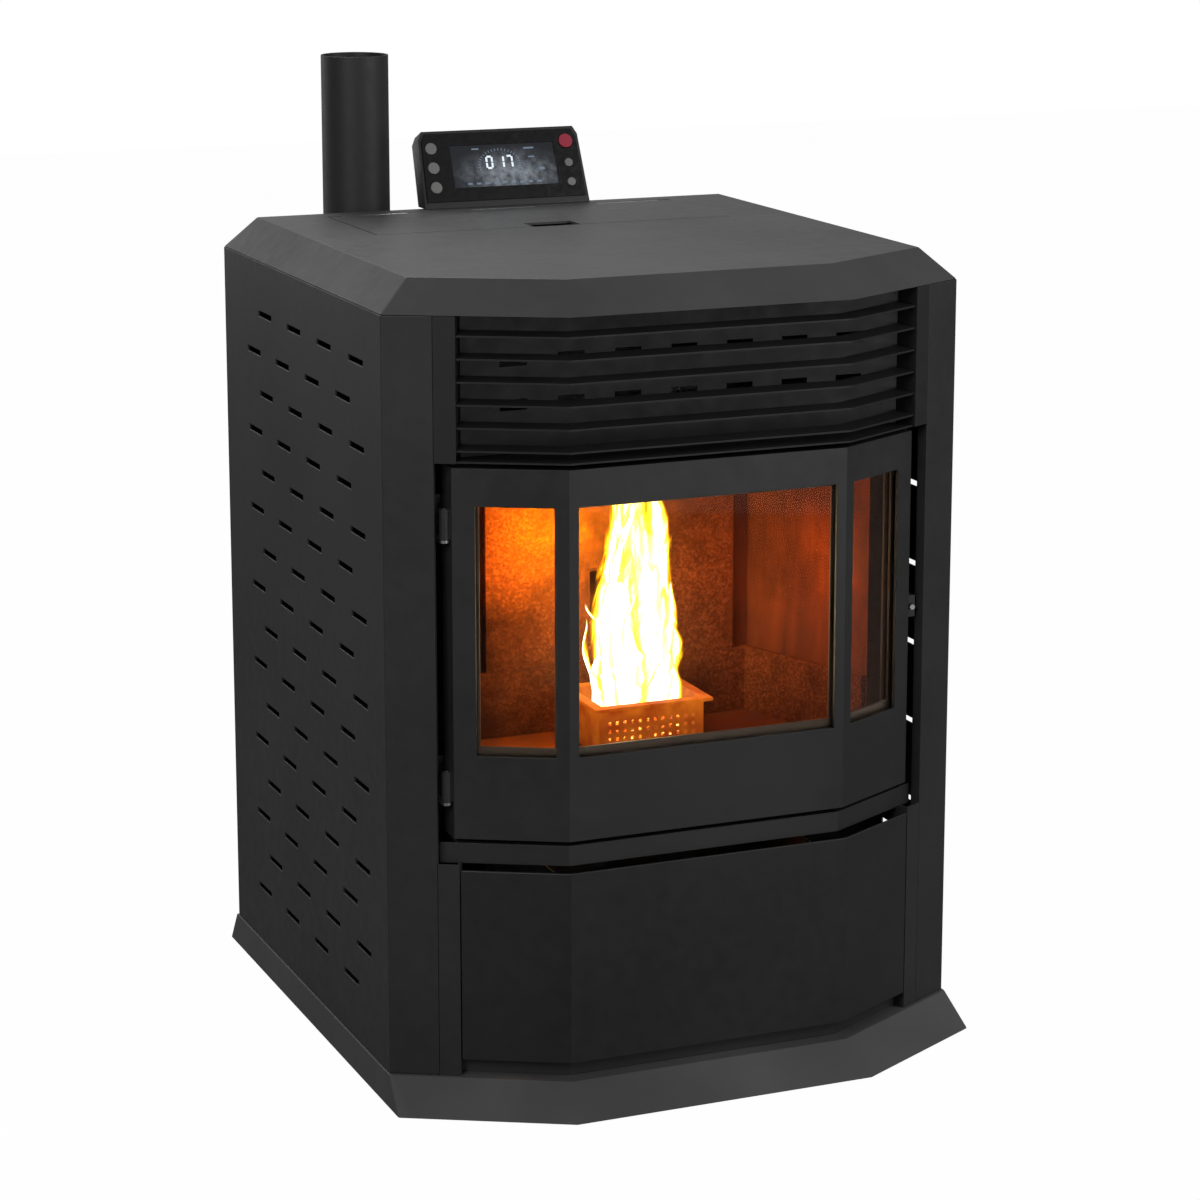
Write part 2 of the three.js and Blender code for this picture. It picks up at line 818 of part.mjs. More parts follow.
function sideGlass(side) {
  const start = sidePaneStart - glassLap;
  const end = sidePaneStart + sidePaneWidth + glassLap;
  const back = glassInset + glassThickness;
  const profile = [
    facetPoint(side, start, glassInset),
    facetPoint(side, end, glassInset),
    facetPoint(side, end, back),
    facetPoint(side, start, back),
  ];
  return prism(profile, paneFoot - glassLap, paneHead + glassLap);
}

function glassRetainer() {
  const inset = glassInset + glassThickness + seat;
  const z0 = paneFoot + retainerFoot;
  const z1 = paneHead - retainerSide;
  const width = centrePaneWidth / 2 - retainerSide;
  const start = sidePaneStart + retainerSide;
  const span = sidePaneWidth - 2 * retainerSide;
  return cut(
    baySheet(sidePaneStart - glassLap, inset, retainerSheet, paneFoot - glassLap, paneHead + glassLap),
    box(-width, width, -bayDepth, -bayDepth + inset + retainerSheet + 2, z0, z1),
    facetWindow(-1, start, span, inset, retainerSheet, z0, z1),
    facetWindow(1, start, span, inset, retainerSheet, z0, z1),
  );
}

function doorGasket() {
  const x = doorEnd.x - doorSheet;
  const y = doorBack + seat;
  const z0 = doorFoot + doorSheet;
  const z1 = doorHead - doorSheet;
  const w = gasketWidth;
  return cut(
    box(-x, x, y, y + gasketThickness, z0, z1),
    box(-x + w, x - w, y - 1, y + gasketThickness + 1, z0 + w, z1 - w),
  );
}

// A bracket on the fire chamber's flange, with a pin that the door's knuckle sits on.
function doorHinge(z) {
  const armTop = z - seat;
  const armFoot = armTop - bracketThickness;
  const plateFront = flangeBack + seat;
  const x = hingeAt.x;
  const half = bracketWidth / 2;
  return join(
    barZ(half, armFoot, armTop, x, hingeAt.y),
    box(x - half, x + half, hingeAt.y, plateFront + bracketThickness, armFoot, armTop),
    box(x - half, x - half + bracketPlate, plateFront, plateFront + bracketThickness,
      armFoot, armTop + 40),
    barZ(pinRadius, armFoot, z + knuckleLength - 1, x, hingeAt.y, 16),
  );
}

// Spindle with a cam behind the chamber's flange. The cam stands up when the door is free to open.
function doorLatch() {
  const camFront = flangeBack + 1;
  const camBack = camFront + camThickness;
  return join(
    barY(spindleRadius, doorEnd.y + 1, camBack, latchX, latchHeight, 16),
    box(latchX - 4, latchX + 4, camFront, camBack, latchHeight - 4, latchHeight + camLength),
    barY(spindleRadius + 1.5, camFront - 3, camFront + 1, latchX, latchHeight, 16),
  );
}

// ---- Fire chamber ----

const flangeHalf = doorEnd.x - flangeMargin;
const flangeFoot = doorFoot + flangeMargin;
const chamberFront = flangeHalf - chamberStep;
const backPlateHead = chamberCeiling - backPlateDrop;

// Inner half width of the chamber at a distance behind the front corners.
function chamberHalf(y) {
  return chamberFront - (y - flangeBack) * chamberTaper / chamberDepth;
}

function chamberOutline(offset, front, back) {
  return [
    new THREE.Vector2(-chamberHalf(front) - offset, front),
    new THREE.Vector2(chamberHalf(front) + offset, front),
    new THREE.Vector2(chamberHalf(back) + offset, back),
    new THREE.Vector2(-chamberHalf(back) - offset, back),
  ];
}

function chuteHole(half, y0, y1, grow) {
  return box(-half, half, y0, y1, chuteFoot - grow, chuteHead + grow);
}

function exhaustHole(y0, y1) {
  const x0 = ductLeft + exhaustHoleStep;
  const x1 = ductRight - exhaustHoleStep;
  return box(x0, x1, y0, y1, backPlateHead + baffleThickness + 2 * seat + exhaustHoleDrop,
    chamberCeiling - exhaustHoleDrop);
}

function fireChamber() {
  const back = chamberBack + chamberSheet;
  const mouthHalf = chamberFront - mouthLip;
  const shell = join(
    prism(chamberOutline(chamberSheet, flangeBack - 1, back), chamberFloor - chamberSheet,
      chamberCeiling + chamberSheet),
    box(-flangeHalf, flangeHalf, flangeFront, flangeBack, flangeFoot, doorHead),
  );
  return cut(
    shell,
    prism(chamberOutline(0, flangeBack, chamberBack), chamberFloor, chamberCeiling),
    box(-mouthHalf, mouthHalf, flangeFront - 1, flangeBack + 1, chamberFloor + mouthLip,
      chamberCeiling - mouthLip),
    chuteHole(chuteWidth / 2 + seat, chamberBack - 1, back + 1, seat),
    exhaustHole(chamberBack - 1, back + 1),
    potSeatHole(chamberFloor - chamberSheet - 1, chamberFloor + 1),
    box(...around(0, ashSlotWidth), flangeBack + ashSlotStep, flangeBack + ashSlotStep + ashSlotDepth,
      chamberFloor - chamberSheet - 1, chamberFloor + 1),
  );
}

// Liner round the foot of the chamber: two sides and the rear.
function chamberLiner() {
  const back = chamberBack - seat;
  const front = flangeBack + seat;
  const foot = chamberFloor + seat;
  return cut(
    prism(chamberOutline(-seat, front, back), foot, foot + linerHeight),
    prism(chamberOutline(-linerThickness - seat, front - 2, back - linerThickness), foot - 1,
      foot + linerHeight + 1),
  );
}

function backPlate() {
  const back = chamberBack - seat;
  const x = chamberFront - chamberTaper - backPlateStep;
  const foot = chamberFloor + linerHeight + 2 * seat;
  return cut(
    box(-x, x, back - backPlateThickness, back, foot, backPlateHead),
    chuteHole(chuteWidth / 2 + seat, back - backPlateThickness - 1, back + 1, seat),
  );
}

function bafflePlate() {
  const back = chamberBack - seat;
  const z0 = backPlateHead + seat;
  return prism(chamberOutline(-seat, back - baffleDepth, back), z0, z0 + baffleThickness);
}

const potBack = potFront + potDepth;
const potFoot = chamberFloor + seat;

// The opening that lets air up through the chamber's floor into the pot.
function potSeatHole(z0, z1) {
  const x = potWidth / 2 - potSeatStep;
  return box(-x, x, potFront + potSeatStep, potBack - potSeatStep, z0, z1);
}

function burnPot() {
  const x = potWidth / 2;
  const top = potFoot + potHeight;
  const shell = cut(
    join(
      box(-x, x, potFront, potBack, potFoot, top),
      box(-x - potRim, x + potRim, potFront - potRim, potBack + potRim, top - potRimThickness, top),
    ),
    box(-x + potWall, x - potWall, potFront + potWall, potBack - potWall, potFoot + potWall, top + 1),
  );
  const holes = [];
  const half = potHole / 2;
  for (let n = 0; n < potHoleColumns; n += 1) {
    const cx = (n - (potHoleColumns - 1) / 2) * potHolePitch;
    for (let row = 1; row <= potHoleRows; row += 1) {
      const cz = potFoot + row * potHolePitch;
      holes.push([cx - half, cx + half, potFront - 1, potBack + 1, cz - half, cz + half]);
    }
    if (Math.abs(cx) < potWidth / 2 - potSeatStep - potHole) {
      const cy = (potFront + potBack) / 2;
      holes.push([cx - half, cx + half, cy - half, cy + half, potFoot - 1, potFoot + potWall + 1]);
    }
  }
  return cut(shell, boxes(holes));
}

const airBoxHead = chamberFloor - chamberSheet - seat;
const airBoxFoot = airBoxHead - airBoxHeight;
const airBoxBack = potFront + airBoxDepth;

function airPipeHeight() {
  return airBoxFoot + airBoxHeight / 2;
}

// Air box under the pot: combustion air comes in at its rear, and the igniter sits in it.
function potHolder() {
  const x = airBoxWidth / 2;
  const wall = airBoxSheet;
  return cut(
    box(-x, x, potFront, airBoxBack, airBoxFoot, airBoxHead),
    box(-x + wall, x - wall, potFront + wall, airBoxBack - wall, airBoxFoot + wall, airBoxHead - wall),
    potSeatHole(airBoxHead - wall - 1, airBoxHead + 1),
    barY(intakeRadius - intakeWall, airBoxBack - wall - 1, airBoxBack + 1, intakeX, airPipeHeight()),
    barY(igniterRadius + seat, airBoxBack - wall - 1, airBoxBack + 1, igniterX, airPipeHeight(), 16),
  );
}

function igniter() {
  const z = airPipeHeight();
  const collar = airBoxBack + seat;
  return join(
    barY(igniterRadius, airBoxBack - igniterLength, airBoxBack + igniterTail, igniterX, z, 16),
    barY(igniterRadius + igniterCollar, collar, collar + airBoxSheet, igniterX, z, 16),
  );
}

function intakePipe() {
  const y0 = airBoxBack + seat;
  const y1 = casingDepth + intakeBack;
  const z = airPipeHeight();
  return cut(
    barY(intakeRadius, y0, y1, intakeX, z),
    barY(intakeRadius - intakeWall, y0 - 1, y1 + 1, intakeX, z),
  );
}

// ---- Pellet feed ----

function rectangle(x, y0, y1) {
  const corners = [[-x, y0], [x, y0], [x, y1], [-x, y1]];
  return corners.map((corner) => new THREE.Vector2(...corner));
}

function hopper() {
  const flangeTop = topHeight - topSheet - seat;
  const flangeFoot = flangeTop - hopperSheet;
  const mouthX = lidWidth / 2 - mouthStep;
  const mouth0 = lidFront + mouthStep;
  const mouth1 = lidBack - mouthStep;
  const throat1 = throatFront + throatWidth;
  const s = hopperSheet;
  const outer = frustum(
    rectangle(throatWidth / 2 + s, throatFront - s, throat1 + s), throatHeight,
    rectangle(mouthX + s, mouth0 - s, mouth1 + s), flangeFoot + 1,
  );
  const inner = frustum(
    rectangle(throatWidth / 2, throatFront, throat1), throatHeight - 1,
    rectangle(mouthX, mouth0, mouth1), flangeTop + 1,
  );
  const flangeX = mouthX + hopperFlange;
  const flange = box(-flangeX, flangeX, mouth0 - hopperFlange, lidBack - 0.5, flangeFoot, flangeTop);
  const trayX = notchWidth / 2 + traySide;
  const trayFoot = flangeFoot - trayDrop;
  const tray = box(-trayX, trayX, mouth0 - hopperSheet, lidFront + notchDepth + trayBack, trayFoot,
    trayFoot + hopperSheet);
  const trayWall = box(-trayX, trayX, mouth0 - hopperSheet, mouth0, trayFoot, flangeTop);
  return join(cut(join(outer, flange), inner), tray, trayWall);
}

// Turn a geometry made along +Z so that it lies along the auger, from the tube's lower end.
function alongAuger(geometry) {
  return geometry.rotateX(augerDown).translate(0, augerBack, augerBottom);
}

function collar(half, y0, y1, foot) {
  return box(-half, half, y0, y1, foot, throatHeight - seat);
}

function augerTube() {
  const bore = augerTubeRadius - augerTubeWall;
  const throat1 = throatFront + throatWidth;
  const collarFoot = throatHeight - collarDepth;
  const inner = throatWidth / 2 - collarLedge;
  const half = augerFlange / 2;
  const tube = join(
    alongAuger(bar(augerTubeRadius, 0, augerTubeLength)),
    collar(throatWidth / 2 + hopperSheet, throatFront - hopperSheet, throat1 + hopperSheet, collarFoot),
    alongAuger(box(-half, half, -half, half, 0, augerFlangeThickness)),
  );
  const side = outletWidth / 2;
  const outletTop = augerTubeLength - outletEnd;
  return cut(
    tube,
    alongAuger(bar(bore, -1, augerTubeLength - augerTubeWall)),
    collar(inner, throatFront + collarLedge, throat1 - collarLedge, collarFoot + 5).translate(0, 0, 2),
    alongAuger(box(-side, side, -augerTubeRadius - 2, 0, outletTop - outletLength, outletTop)),
  );
}

// Screw turning in the tube: a shaft with one continuous flight, made along +Z.
function augerScrew() {
  const reach = augerTubeRadius - augerTubeWall - flightClearance;
  const stepsPerTurn = 12;
  const stations = [];
  for (let step = 0; step <= flightTurns * stepsPerTurn; step += 1) {
    const angle = (step / stepsPerTurn) * 2 * Math.PI;
    const z = flightStart + (step / stepsPerTurn) * flightPitch;
    const c = Math.cos(angle);
    const s = Math.sin(angle);
    const at = (radius, up) => new THREE.Vector3(radius * c, radius * s, z + up);
    stations.push([
      at(augerShaftRadius - 2, 0),
      at(augerShaftRadius - 2, flightThickness),
      at(reach, flightThickness),
      at(reach, 0),
    ]);
  }
  return join(bar(augerShaftRadius, -shaftTail, augerTubeLength - shaftHeadGap, 16), sweep(stations));
}

function augerMotor() {
  const half = augerMotorSize / 2;
  const body = join(
    box(-half, half, -half, half, -seat - augerMotorLength, -seat),
    bar(half - augerMotorNeck, -seat - augerMotorLength - augerMotorNose, -seat - augerMotorLength + 1),
  );
  return cut(body, bar(augerShaftRadius + running, -motorBore, 1, 16));
}

// Chute from the auger's upper end, sloping down through the chamber's rear wall.
function feedChute() {
  const x = chuteWidth / 2;
  const y0 = chamberBack - backPlateThickness;
  const y1 = chamberBack + 4;
  const across = (points, half) => new THREE.ExtrudeGeometry(
    new THREE.Shape(points.map(([y, z]) => new THREE.Vector2(y, z))),
    { depth: 2 * half, bevelEnabled: false },
  ).rotateX(Math.PI / 2).rotateZ(Math.PI / 2).translate(-half, 0, 0);
  const outer = across([
    [y0, chuteFoot], [y1, chuteFoot], [y1 + chuteRun, chuteFoot + chuteRise],
    [y1 + 22, chuteHead + 12], [y1 + 10, chuteHead], [y0, chuteHead],
  ], x);
  const inner = across([
    [y0 - 3, chuteFoot + chuteSheet], [y1 - 1, chuteFoot + chuteSheet],
    [y1 + chuteRun + 6, chuteFoot + chuteRise + 9], [y1 + 28, chuteHead + 15],
    [y1 + 11, chuteHead - chuteSheet], [y0 - 3, chuteHead - chuteSheet],
  ], x - chuteSheet);
  return cut(outer, inner, alongAuger(bar(augerTubeRadius + seat, 0, augerTubeLength + 12)));
}

// ---- Exhaust and flue ----

const ductLeft = flueX + ductOffset;
const ductRight = ductLeft + ductWidth;
const ductFront = chamberBack + chamberSheet + seat;
const voluteRight = ductLeft - seat;
const voluteLeft = voluteRight - voluteWidth;
const voluteX = (voluteLeft + voluteRight) / 2;

function exhaustDuct() {
  const s = ductSheet;
  const head = chamberCeiling + chamberSheet;
  const legBack = voluteY + ductLegReach;
  const outer = join(
    box(ductLeft, ductRight, ductFront, ductFront + ductDepth, ductFoot, head),
    box(ductLeft, ductRight, ductFront, legBack, ductFoot, ductLegHead),
  );
  const inner = join(
    box(ductLeft + s, ductRight - s, ductFront + s, ductFront + ductDepth - s, ductFoot + s, head - s),
    box(ductLeft + s, ductRight - s, ductFront + s, legBack - s, ductFoot + s, ductLegHead - s),
  );
  return cut(
    outer,
    inner,
    exhaustHole(ductFront - 1, ductFront + s + 1),
    barX(voluteInlet + ductSheet, ductLeft - 1, ductLeft + s + 1, voluteY, spigotHeight),
  );
}

function exhaustHousing() {
  const s = voluteSheet;
  const back = casingDepth + flueBack - socketRadius + 4;
  const outer = join(
    barX(voluteRadius, voluteLeft, voluteRight, voluteY, spigotHeight, 32),
    barY(pipeRadius, voluteY + 40, back, flueX, spigotHeight, 28),
  );
  return cut(
    outer,
    barX(voluteRadius - s, voluteLeft + s, voluteRight - s, voluteY, spigotHeight, 32),
    barY(pipeRadius - pipeWall, voluteY + 42, back + 1, flueX, spigotHeight, 28),
    barX(voluteInlet, voluteRight - s - 1, voluteRight + 1, voluteY, spigotHeight),
    barX(voluteShaftHole, voluteLeft - 1, voluteLeft + s + 1, voluteY, spigotHeight, 16),
  );
}

const impellerLeft = voluteX - impellerWidth / 2;

function impellerBlade(angle) {
  const half = bladeThickness / 2;
  return box(impellerLeft + 1, impellerLeft + impellerWidth, -half, half, bladeRoot, impellerRadius - 1)
    .rotateX(angle)
    .translate(0, voluteY, spigotHeight);
}

function exhaustImpeller() {
  const x0 = impellerLeft;
  const pitch = (2 * Math.PI) / impellerBlades;
  const blades = Array.from({ length: impellerBlades }, (_, n) => impellerBlade(n * pitch));
  return join(
    barX(impellerRadius, x0, x0 + impellerDisc, voluteY, spigotHeight),
    barX(impellerHub, x0, x0 + impellerWidth * 0.6, voluteY, spigotHeight, 16),
    barX(fanShaftRadius, voluteLeft - fanShaftTail, x0 + 1, voluteY, spigotHeight, 16),
    ...blades,
  );
}

function exhaustMotor() {
  const x1 = voluteLeft - seat;
  const x0 = x1 - exhaustMotorLength;
  return cut(
    join(
      barX(exhaustMotorRadius, x0, x1, voluteY, spigotHeight),
      barX(exhaustMotorNeck, x0 - fanShaftTail / 3, x1, voluteY, spigotHeight, 16),
    ),
    barX(fanShaftRadius + running, x1 - motorBore, x1 + 1, voluteY, spigotHeight, 16),
  );
}

function flueTee() {
  const bore = pipeRadius + seat;
  const branchFront = casingDepth + seat;
  return cut(
    join(
      barZ(socketRadius, teeFoot, teeHead, flueX, pipeY, 28),
      barY(socketRadius, branchFront, pipeY, flueX, spigotHeight, 28),
    ),
    barZ(bore, teeFoot - 1, teeHead + 1, flueX, pipeY, 28),
    barY(bore, branchFront - 1, pipeY, flueX, spigotHeight, 28),
  );
}

function teeCap() {
  return cut(
    join(
      barZ(pipeRadius, teeFoot - capFlange, teeFoot + capDepth, flueX, pipeY, 28),
      barZ(socketRadius + capRim, teeFoot - capFlange - seat, teeFoot - seat, flueX, pipeY, 28),
    ),
    barZ(pipeRadius - pipeWall, teeFoot, teeFoot + capDepth + 1, flueX, pipeY, 28),
  );
}

function fluePipe() {
  const foot = teeHead - pipeOverlap;
  return cut(
    barZ(pipeRadius, foot, flueTop, flueX, pipeY, 28),
    barZ(pipeRadius - pipeWall, foot - 1, flueTop + 1, flueX, pipeY, 28),
  );
}

// ---- Warm air ----

const drumLeft = blowerLeft + blowerSheet + drumEndGap;
const blowerRight = drumLeft + drumLength + drumEndGap + blowerSheet;

function blowerHousing() {
  const s = blowerSheet;
  const half = blowerSize / 2;
  const x0 = blowerLeft + s;
  const x1 = blowerRight - s;
  return cut(
    box(blowerLeft, blowerRight, blowerY - half, blowerY + half, floorTop + seat, blowerZ + half),
    barX(drumRadius + drumGap, x0, x1, blowerY, blowerZ, 24),
    box(x0, x1, blowerY - blowerOutlet, blowerY, blowerZ, blowerZ + half + 1),
    box(x0, x1, blowerY, blowerY + half + 1, blowerZ - blowerInlet / 2, blowerZ + blowerInlet / 2),
    barX(drumShaftRadius + running, blowerLeft - 1, blowerRight + 1, blowerY, blowerZ, 16),
  );
}

function drumBlade(angle) {
  const half = drumBladeThickness / 2;
  const tip = drumRadius - 0.5;
  return box(drumLeft, drumLeft + drumLength, -half, half, tip - drumBladeDepth, tip)
    .rotateX(angle)
    .translate(0, blowerY, blowerZ);
}

function blowerDrum() {
  const discs = [0, 0.5, 1].map((share) => {
    const x = drumLeft + share * (drumLength - drumDisc);
    return barX(drumRadius, x, x + drumDisc, blowerY, blowerZ, 20);
  });
  const pitch = (2 * Math.PI) / drumBlades;
  const blades = Array.from({ length: drumBlades }, (_, n) => drumBlade(n * pitch));
  const shaft = barX(drumShaftRadius, blowerLeft, blowerRight + drumShaftTail, blowerY, blowerZ, 16);
  return join(...discs, shaft, ...blades);
}

function blowerMotor() {
  const x0 = blowerRight + seat;
  return cut(
    barX(blowerMotorRadius, x0, x0 + blowerMotorLength, blowerY, blowerZ),
    barX(drumShaftRadius + running, x0 - 1, x0 + motorBore, blowerY, blowerZ, 16),
  );
}

function warmAirDuct() {
  const s = hotDuctSheet;
  const x = chamberFront - hotDuctStep;
  const front = flangeBack + seat;
  const foot = chamberCeiling + chamberSheet + seat;
  const head = foot + hotDuctHeight;
  return cut(
    box(-x, x, front, hotDuctBack, foot, head),
    box(-x + s, x - s, front - 1, hotDuctBack - s, foot + s, head - s),
    box(-x + hotDuctSideLip, x - hotDuctSideLip, ductFront + ductDepth + hotDuctBackLip,
      hotDuctBack - hotDuctBackLip, foot - 1, foot + s + 1),
  );
}

// ---- Console and electrics ----

function buttonHeight(button) {
  return lowestButton + button.row * buttonPitch + button.lift;
}

// The console is made in its own frame: X along it, Y up its face, Z out of its face.
function consoleHousing() {
  const lean = THREE.MathUtils.degToRad(consoleLean);
  const backFoot = consoleThickness * Math.tan(lean);
  const foot = consoleWidth / 2;
  const head = consoleTopWidth / 2;
  const corners = [-1, 1].flatMap((side) => [
    new THREE.Vector3(side * foot, 0, 0),
    new THREE.Vector3(side * foot, backFoot, -consoleThickness),
    new THREE.Vector3(side * head, consoleHeight - consoleCorner, 0),
    new THREE.Vector3(side * (head - consoleCorner / 2), consoleHeight, 0),
    new THREE.Vector3(side * head, consoleHeight - consoleCorner, -consoleThickness),
    new THREE.Vector3(side * (head - consoleCorner / 2), consoleHeight, -consoleThickness),
  ]);
  const pocketFoot = -buttonDepth - buttonTravel - 1;
  const pockets = buttons.map((button) => bar(button.radius + running, pocketFoot, 1, 20)
    .translate(button.x, buttonHeight(button), 0));
  return cut(
    hull(corners),
    box(displayLeft - seat, displayLeft + displayWidth + seat, displayFoot - seat,
      displayFoot + displayHeight + seat, -displayThickness - seat, 1),
    ...pockets,
  );
}

function consoleFascia() {
  const m = fasciaMargin;
  const foot = consoleWidth / 2 - m;
  const head = consoleTopWidth / 2 - m;
  const top = consoleHeight - m;
  const profile = [
    new THREE.Vector2(-foot, fasciaFoot),
    new THREE.Vector2(foot, fasciaFoot),
    new THREE.Vector2(head, top - consoleCorner),
    new THREE.Vector2(head - consoleCorner / 2, top),
    new THREE.Vector2(-head + consoleCorner / 2, top),
    new THREE.Vector2(-head, top - consoleCorner),
  ];
  const holes = buttons.map((button) => bar(button.radius + running, -1, fasciaThickness + 2, 20)
    .translate(button.x, buttonHeight(button), 0));
  return cut(
    prism(profile, seat, fasciaThickness + seat),
    box(displayLeft + 2, displayLeft + displayWidth - 2, displayFoot + 2, displayFoot + displayHeight - 2,
      -1, fasciaThickness + 2),
    ...holes,
  );
}

function display() {
  return box(displayLeft, displayLeft + displayWidth, displayFoot, displayFoot + displayHeight,
    -displayThickness, 0);
}

function buttonCap(radius) {
  return bar(radius, -buttonDepth, fasciaThickness + seat + buttonProud, 20);
}

function boardPost(x, z, y0, y1) {
  return barY(postRadius, y0, y1, boardX + x, boardZ + z, 12);
}

function boardBlock(part, y) {
  const x = boardX + part.x;
  const z = boardZ + part.z;
  return box(...around(x, part.width), y - part.depth, y, ...around(z, part.height));
}

function controlBoard() {
  const y1 = casingDepth - casingSheet - seat;
  const y0 = y1 - standoff;
  const x = boardWidth / 2;
  const z = boardHeight / 2;
  const posts = [-1, 1].flatMap((sx) => [-1, 1].map((sz) => boardPost(sx * (x - postMargin),
    sz * (z - postMargin), y0 - 1, y1)));
  return join(
    box(boardX - x, boardX + x, y0 - boardThickness, y0, boardZ - z, boardZ + z),
    boardBlock(transformer, y0 - 1),
    boardBlock(terminals, y0 - 1),
    boardBlock(relay, y0 - 1),
    ...posts,
  );
}

// One block on the rear panel: the mains socket below and the switch's frame above it.
function powerInlet() {
  const y0 = casingDepth - inletDepth;
  const x = inletWidth / 2;
  const z0 = inletZ - inletHeight / 2;
  const z1 = switchZ + switchHeight / 2;
  const wall = inletWall;
  return cut(
    join(
      box(inletX - x, inletX + x, y0, casingDepth + 1, z0, z1),
      box(inletX - x - inletRim, inletX + x + inletRim, casingDepth + seat, casingDepth + seat + 2,
        z0 - wall, z1 + wall),
    ),
    box(inletX - x + wall, inletX + x - wall, y0 + 3, casingDepth + 4,
      z0 + wall, z0 + inletHeight - wall),
    box(inletX - switchWidth / 2, inletX + switchWidth / 2, y0 + 3, casingDepth + 4,
      switchZ - switchHeight / 2 + wall, z1 - wall),
  );
}

// Rocker that tips about X in its housing, made round its own pivot.
function rocker() {
  const x = switchWidth / 2 - running;
  const z = switchHeight / 2 - inletWall - 1.2;
  const points = [
    new THREE.Vector2(-rockerDepth + 4, -z + 3),
    new THREE.Vector2(rockerPivot - 1, -z),
    new THREE.Vector2(rockerPivot, 0),
    new THREE.Vector2(rockerPivot + 2.5, z),
    new THREE.Vector2(-rockerDepth + 4, z - 3),
  ];
  return new THREE.ExtrudeGeometry(new THREE.Shape(points), { depth: 2 * x, bevelEnabled: false })
    .rotateX(Math.PI / 2).rotateZ(Math.PI / 2).translate(-x, 0, 0);
}

// ---- Materials ----

const finishes = {
  casing: { color: 0x2c2c2d, roughness: 0.55, metalness: 0.2 },
  top: { color: 0x3c3c3d, roughness: 0.5, metalness: 0.2 },
  plinth: { color: 0x454546, roughness: 0.5, metalness: 0.2 },
  door: { color: 0x303031, roughness: 0.45, metalness: 0.25 },
  grille: { color: 0x161617, roughness: 0.6, metalness: 0.2 },
  flue: { color: 0x2b2b2b, roughness: 0.6, metalness: 0.2 },
  glass: { color: 0x8a6a50, roughness: 0.05, metalness: 0, transparent: true, opacity: 0.3 },
  gasket: { color: 0x4a4743, roughness: 0.95, metalness: 0 },
  steel: { color: 0x8d9093, roughness: 0.4, metalness: 0.9 },
  zinc: { color: 0x9b9d9c, roughness: 0.5, metalness: 0.8 },
  chamber: { color: 0x3a2a22, roughness: 0.85, metalness: 0.2 },
  liner: { color: 0x5a2c18, roughness: 0.9, metalness: 0 },
  iron: { color: 0x4a3a30, roughness: 0.8, metalness: 0.5 },
  motor: { color: 0x55585a, roughness: 0.5, metalness: 0.6 },
  plastic: { color: 0x19191a, roughness: 0.4, metalness: 0 },
  fascia: { color: 0x0d0d0e, roughness: 0.2, metalness: 0 },
  display: { color: 0x232a31, roughness: 0.15, metalness: 0, emissive: 0x1a2028 },
  board: { color: 0x1f5a34, roughness: 0.6, metalness: 0 },
};

const stove = new THREE.Group();
stove.position.y = -(rearReach - frontReach) / 2;

function add(name, geometry, finish, parent = stove) {
  const look = typeof finish === 'string' ? finishes[finish] : finish;
  const material = new THREE.MeshStandardMaterial(look);
  const mesh = new THREE.Mesh(geometry, material);
  mesh.name = name;
  parent.add(mesh);
  return mesh;
}

// ---- Assembly ----

add('plinth', plinth(), 'plinth');
add('base_pan', basePan(), 'zinc');
add('left_side_panel', sidePanel(-1), 'casing');
add('right_side_panel', sidePanel(1), 'casing');
add('rear_panel', rearPanel(), 'casing');
add('top_plate', topPlate(), 'top');
add('hopper_lid', hopperLid(), 'top');
add('lid_hinge_leaf', lidHingeLeaf(), 'steel');

add('grille', grille(), 'grille');
add('air_outlet_plate', outletPlate(), 'grille');
add('lower_frame', lowerFrame(), 'casing');
add('ash_drawer_front', drawerFront(), 'door');
add('ash_box', ashBox(), 'zinc');
add('drawer_runner_left', drawerRunner(-1), 'zinc');
add('drawer_runner_right', drawerRunner(1), 'zinc');

add('door_frame', doorFrame(), 'door');
add('centre_glass', centreGlass(), 'glass');
add('left_glass', sideGlass(-1), 'glass');
add('right_glass', sideGlass(1), 'glass');
add('glass_retainer', glassRetainer(), 'grille');
add('door_gasket', doorGasket(), 'gasket');
add('door_hinge_lower', doorHinge(knuckleFeet[0]), 'steel');
add('door_hinge_upper', doorHinge(knuckleFeet[1]), 'steel');
add('door_latch', doorLatch(), 'steel');

add('fire_chamber', fireChamber(), 'chamber');
add('chamber_liner', chamberLiner(), 'liner');
add('chamber_back_plate', backPlate(), 'liner');
add('baffle_plate', bafflePlate(), 'iron');
add('burn_pot', burnPot(), 'iron');
add('burn_pot_air_box', potHolder(), 'zinc');
add('igniter', igniter(), 'steel');
add('air_intake_pipe', intakePipe(), 'zinc');

add('hopper', hopper(), 'zinc');
add('auger_tube', augerTube(), 'zinc');
const screw = add('auger_screw', augerScrew(), 'steel');
screw.rotation.x = augerDown;
screw.position.set(0, augerBack, augerBottom);
const gearMotor = add('auger_motor', augerMotor(), 'motor');
gearMotor.rotation.x = augerDown;
gearMotor.position.set(0, augerBack, augerBottom);
add('feed_chute', feedChute(), 'zinc');

add('exhaust_duct', exhaustDuct(), 'zinc');
add('exhaust_fan_housing', exhaustHousing(), 'iron');
add('exhaust_impeller', exhaustImpeller(), 'steel');
add('exhaust_motor', exhaustMotor(), 'motor');
add('flue_tee', flueTee(), 'flue');
add('flue_tee_cap', teeCap(), 'flue');
add('flue_pipe', fluePipe(), 'flue');

add('convection_fan_housing', blowerHousing(), 'zinc');
add('convection_drum', blowerDrum(), 'motor');
add('convection_motor', blowerMotor(), 'motor');
add('warm_air_duct', warmAirDuct(), 'zinc');

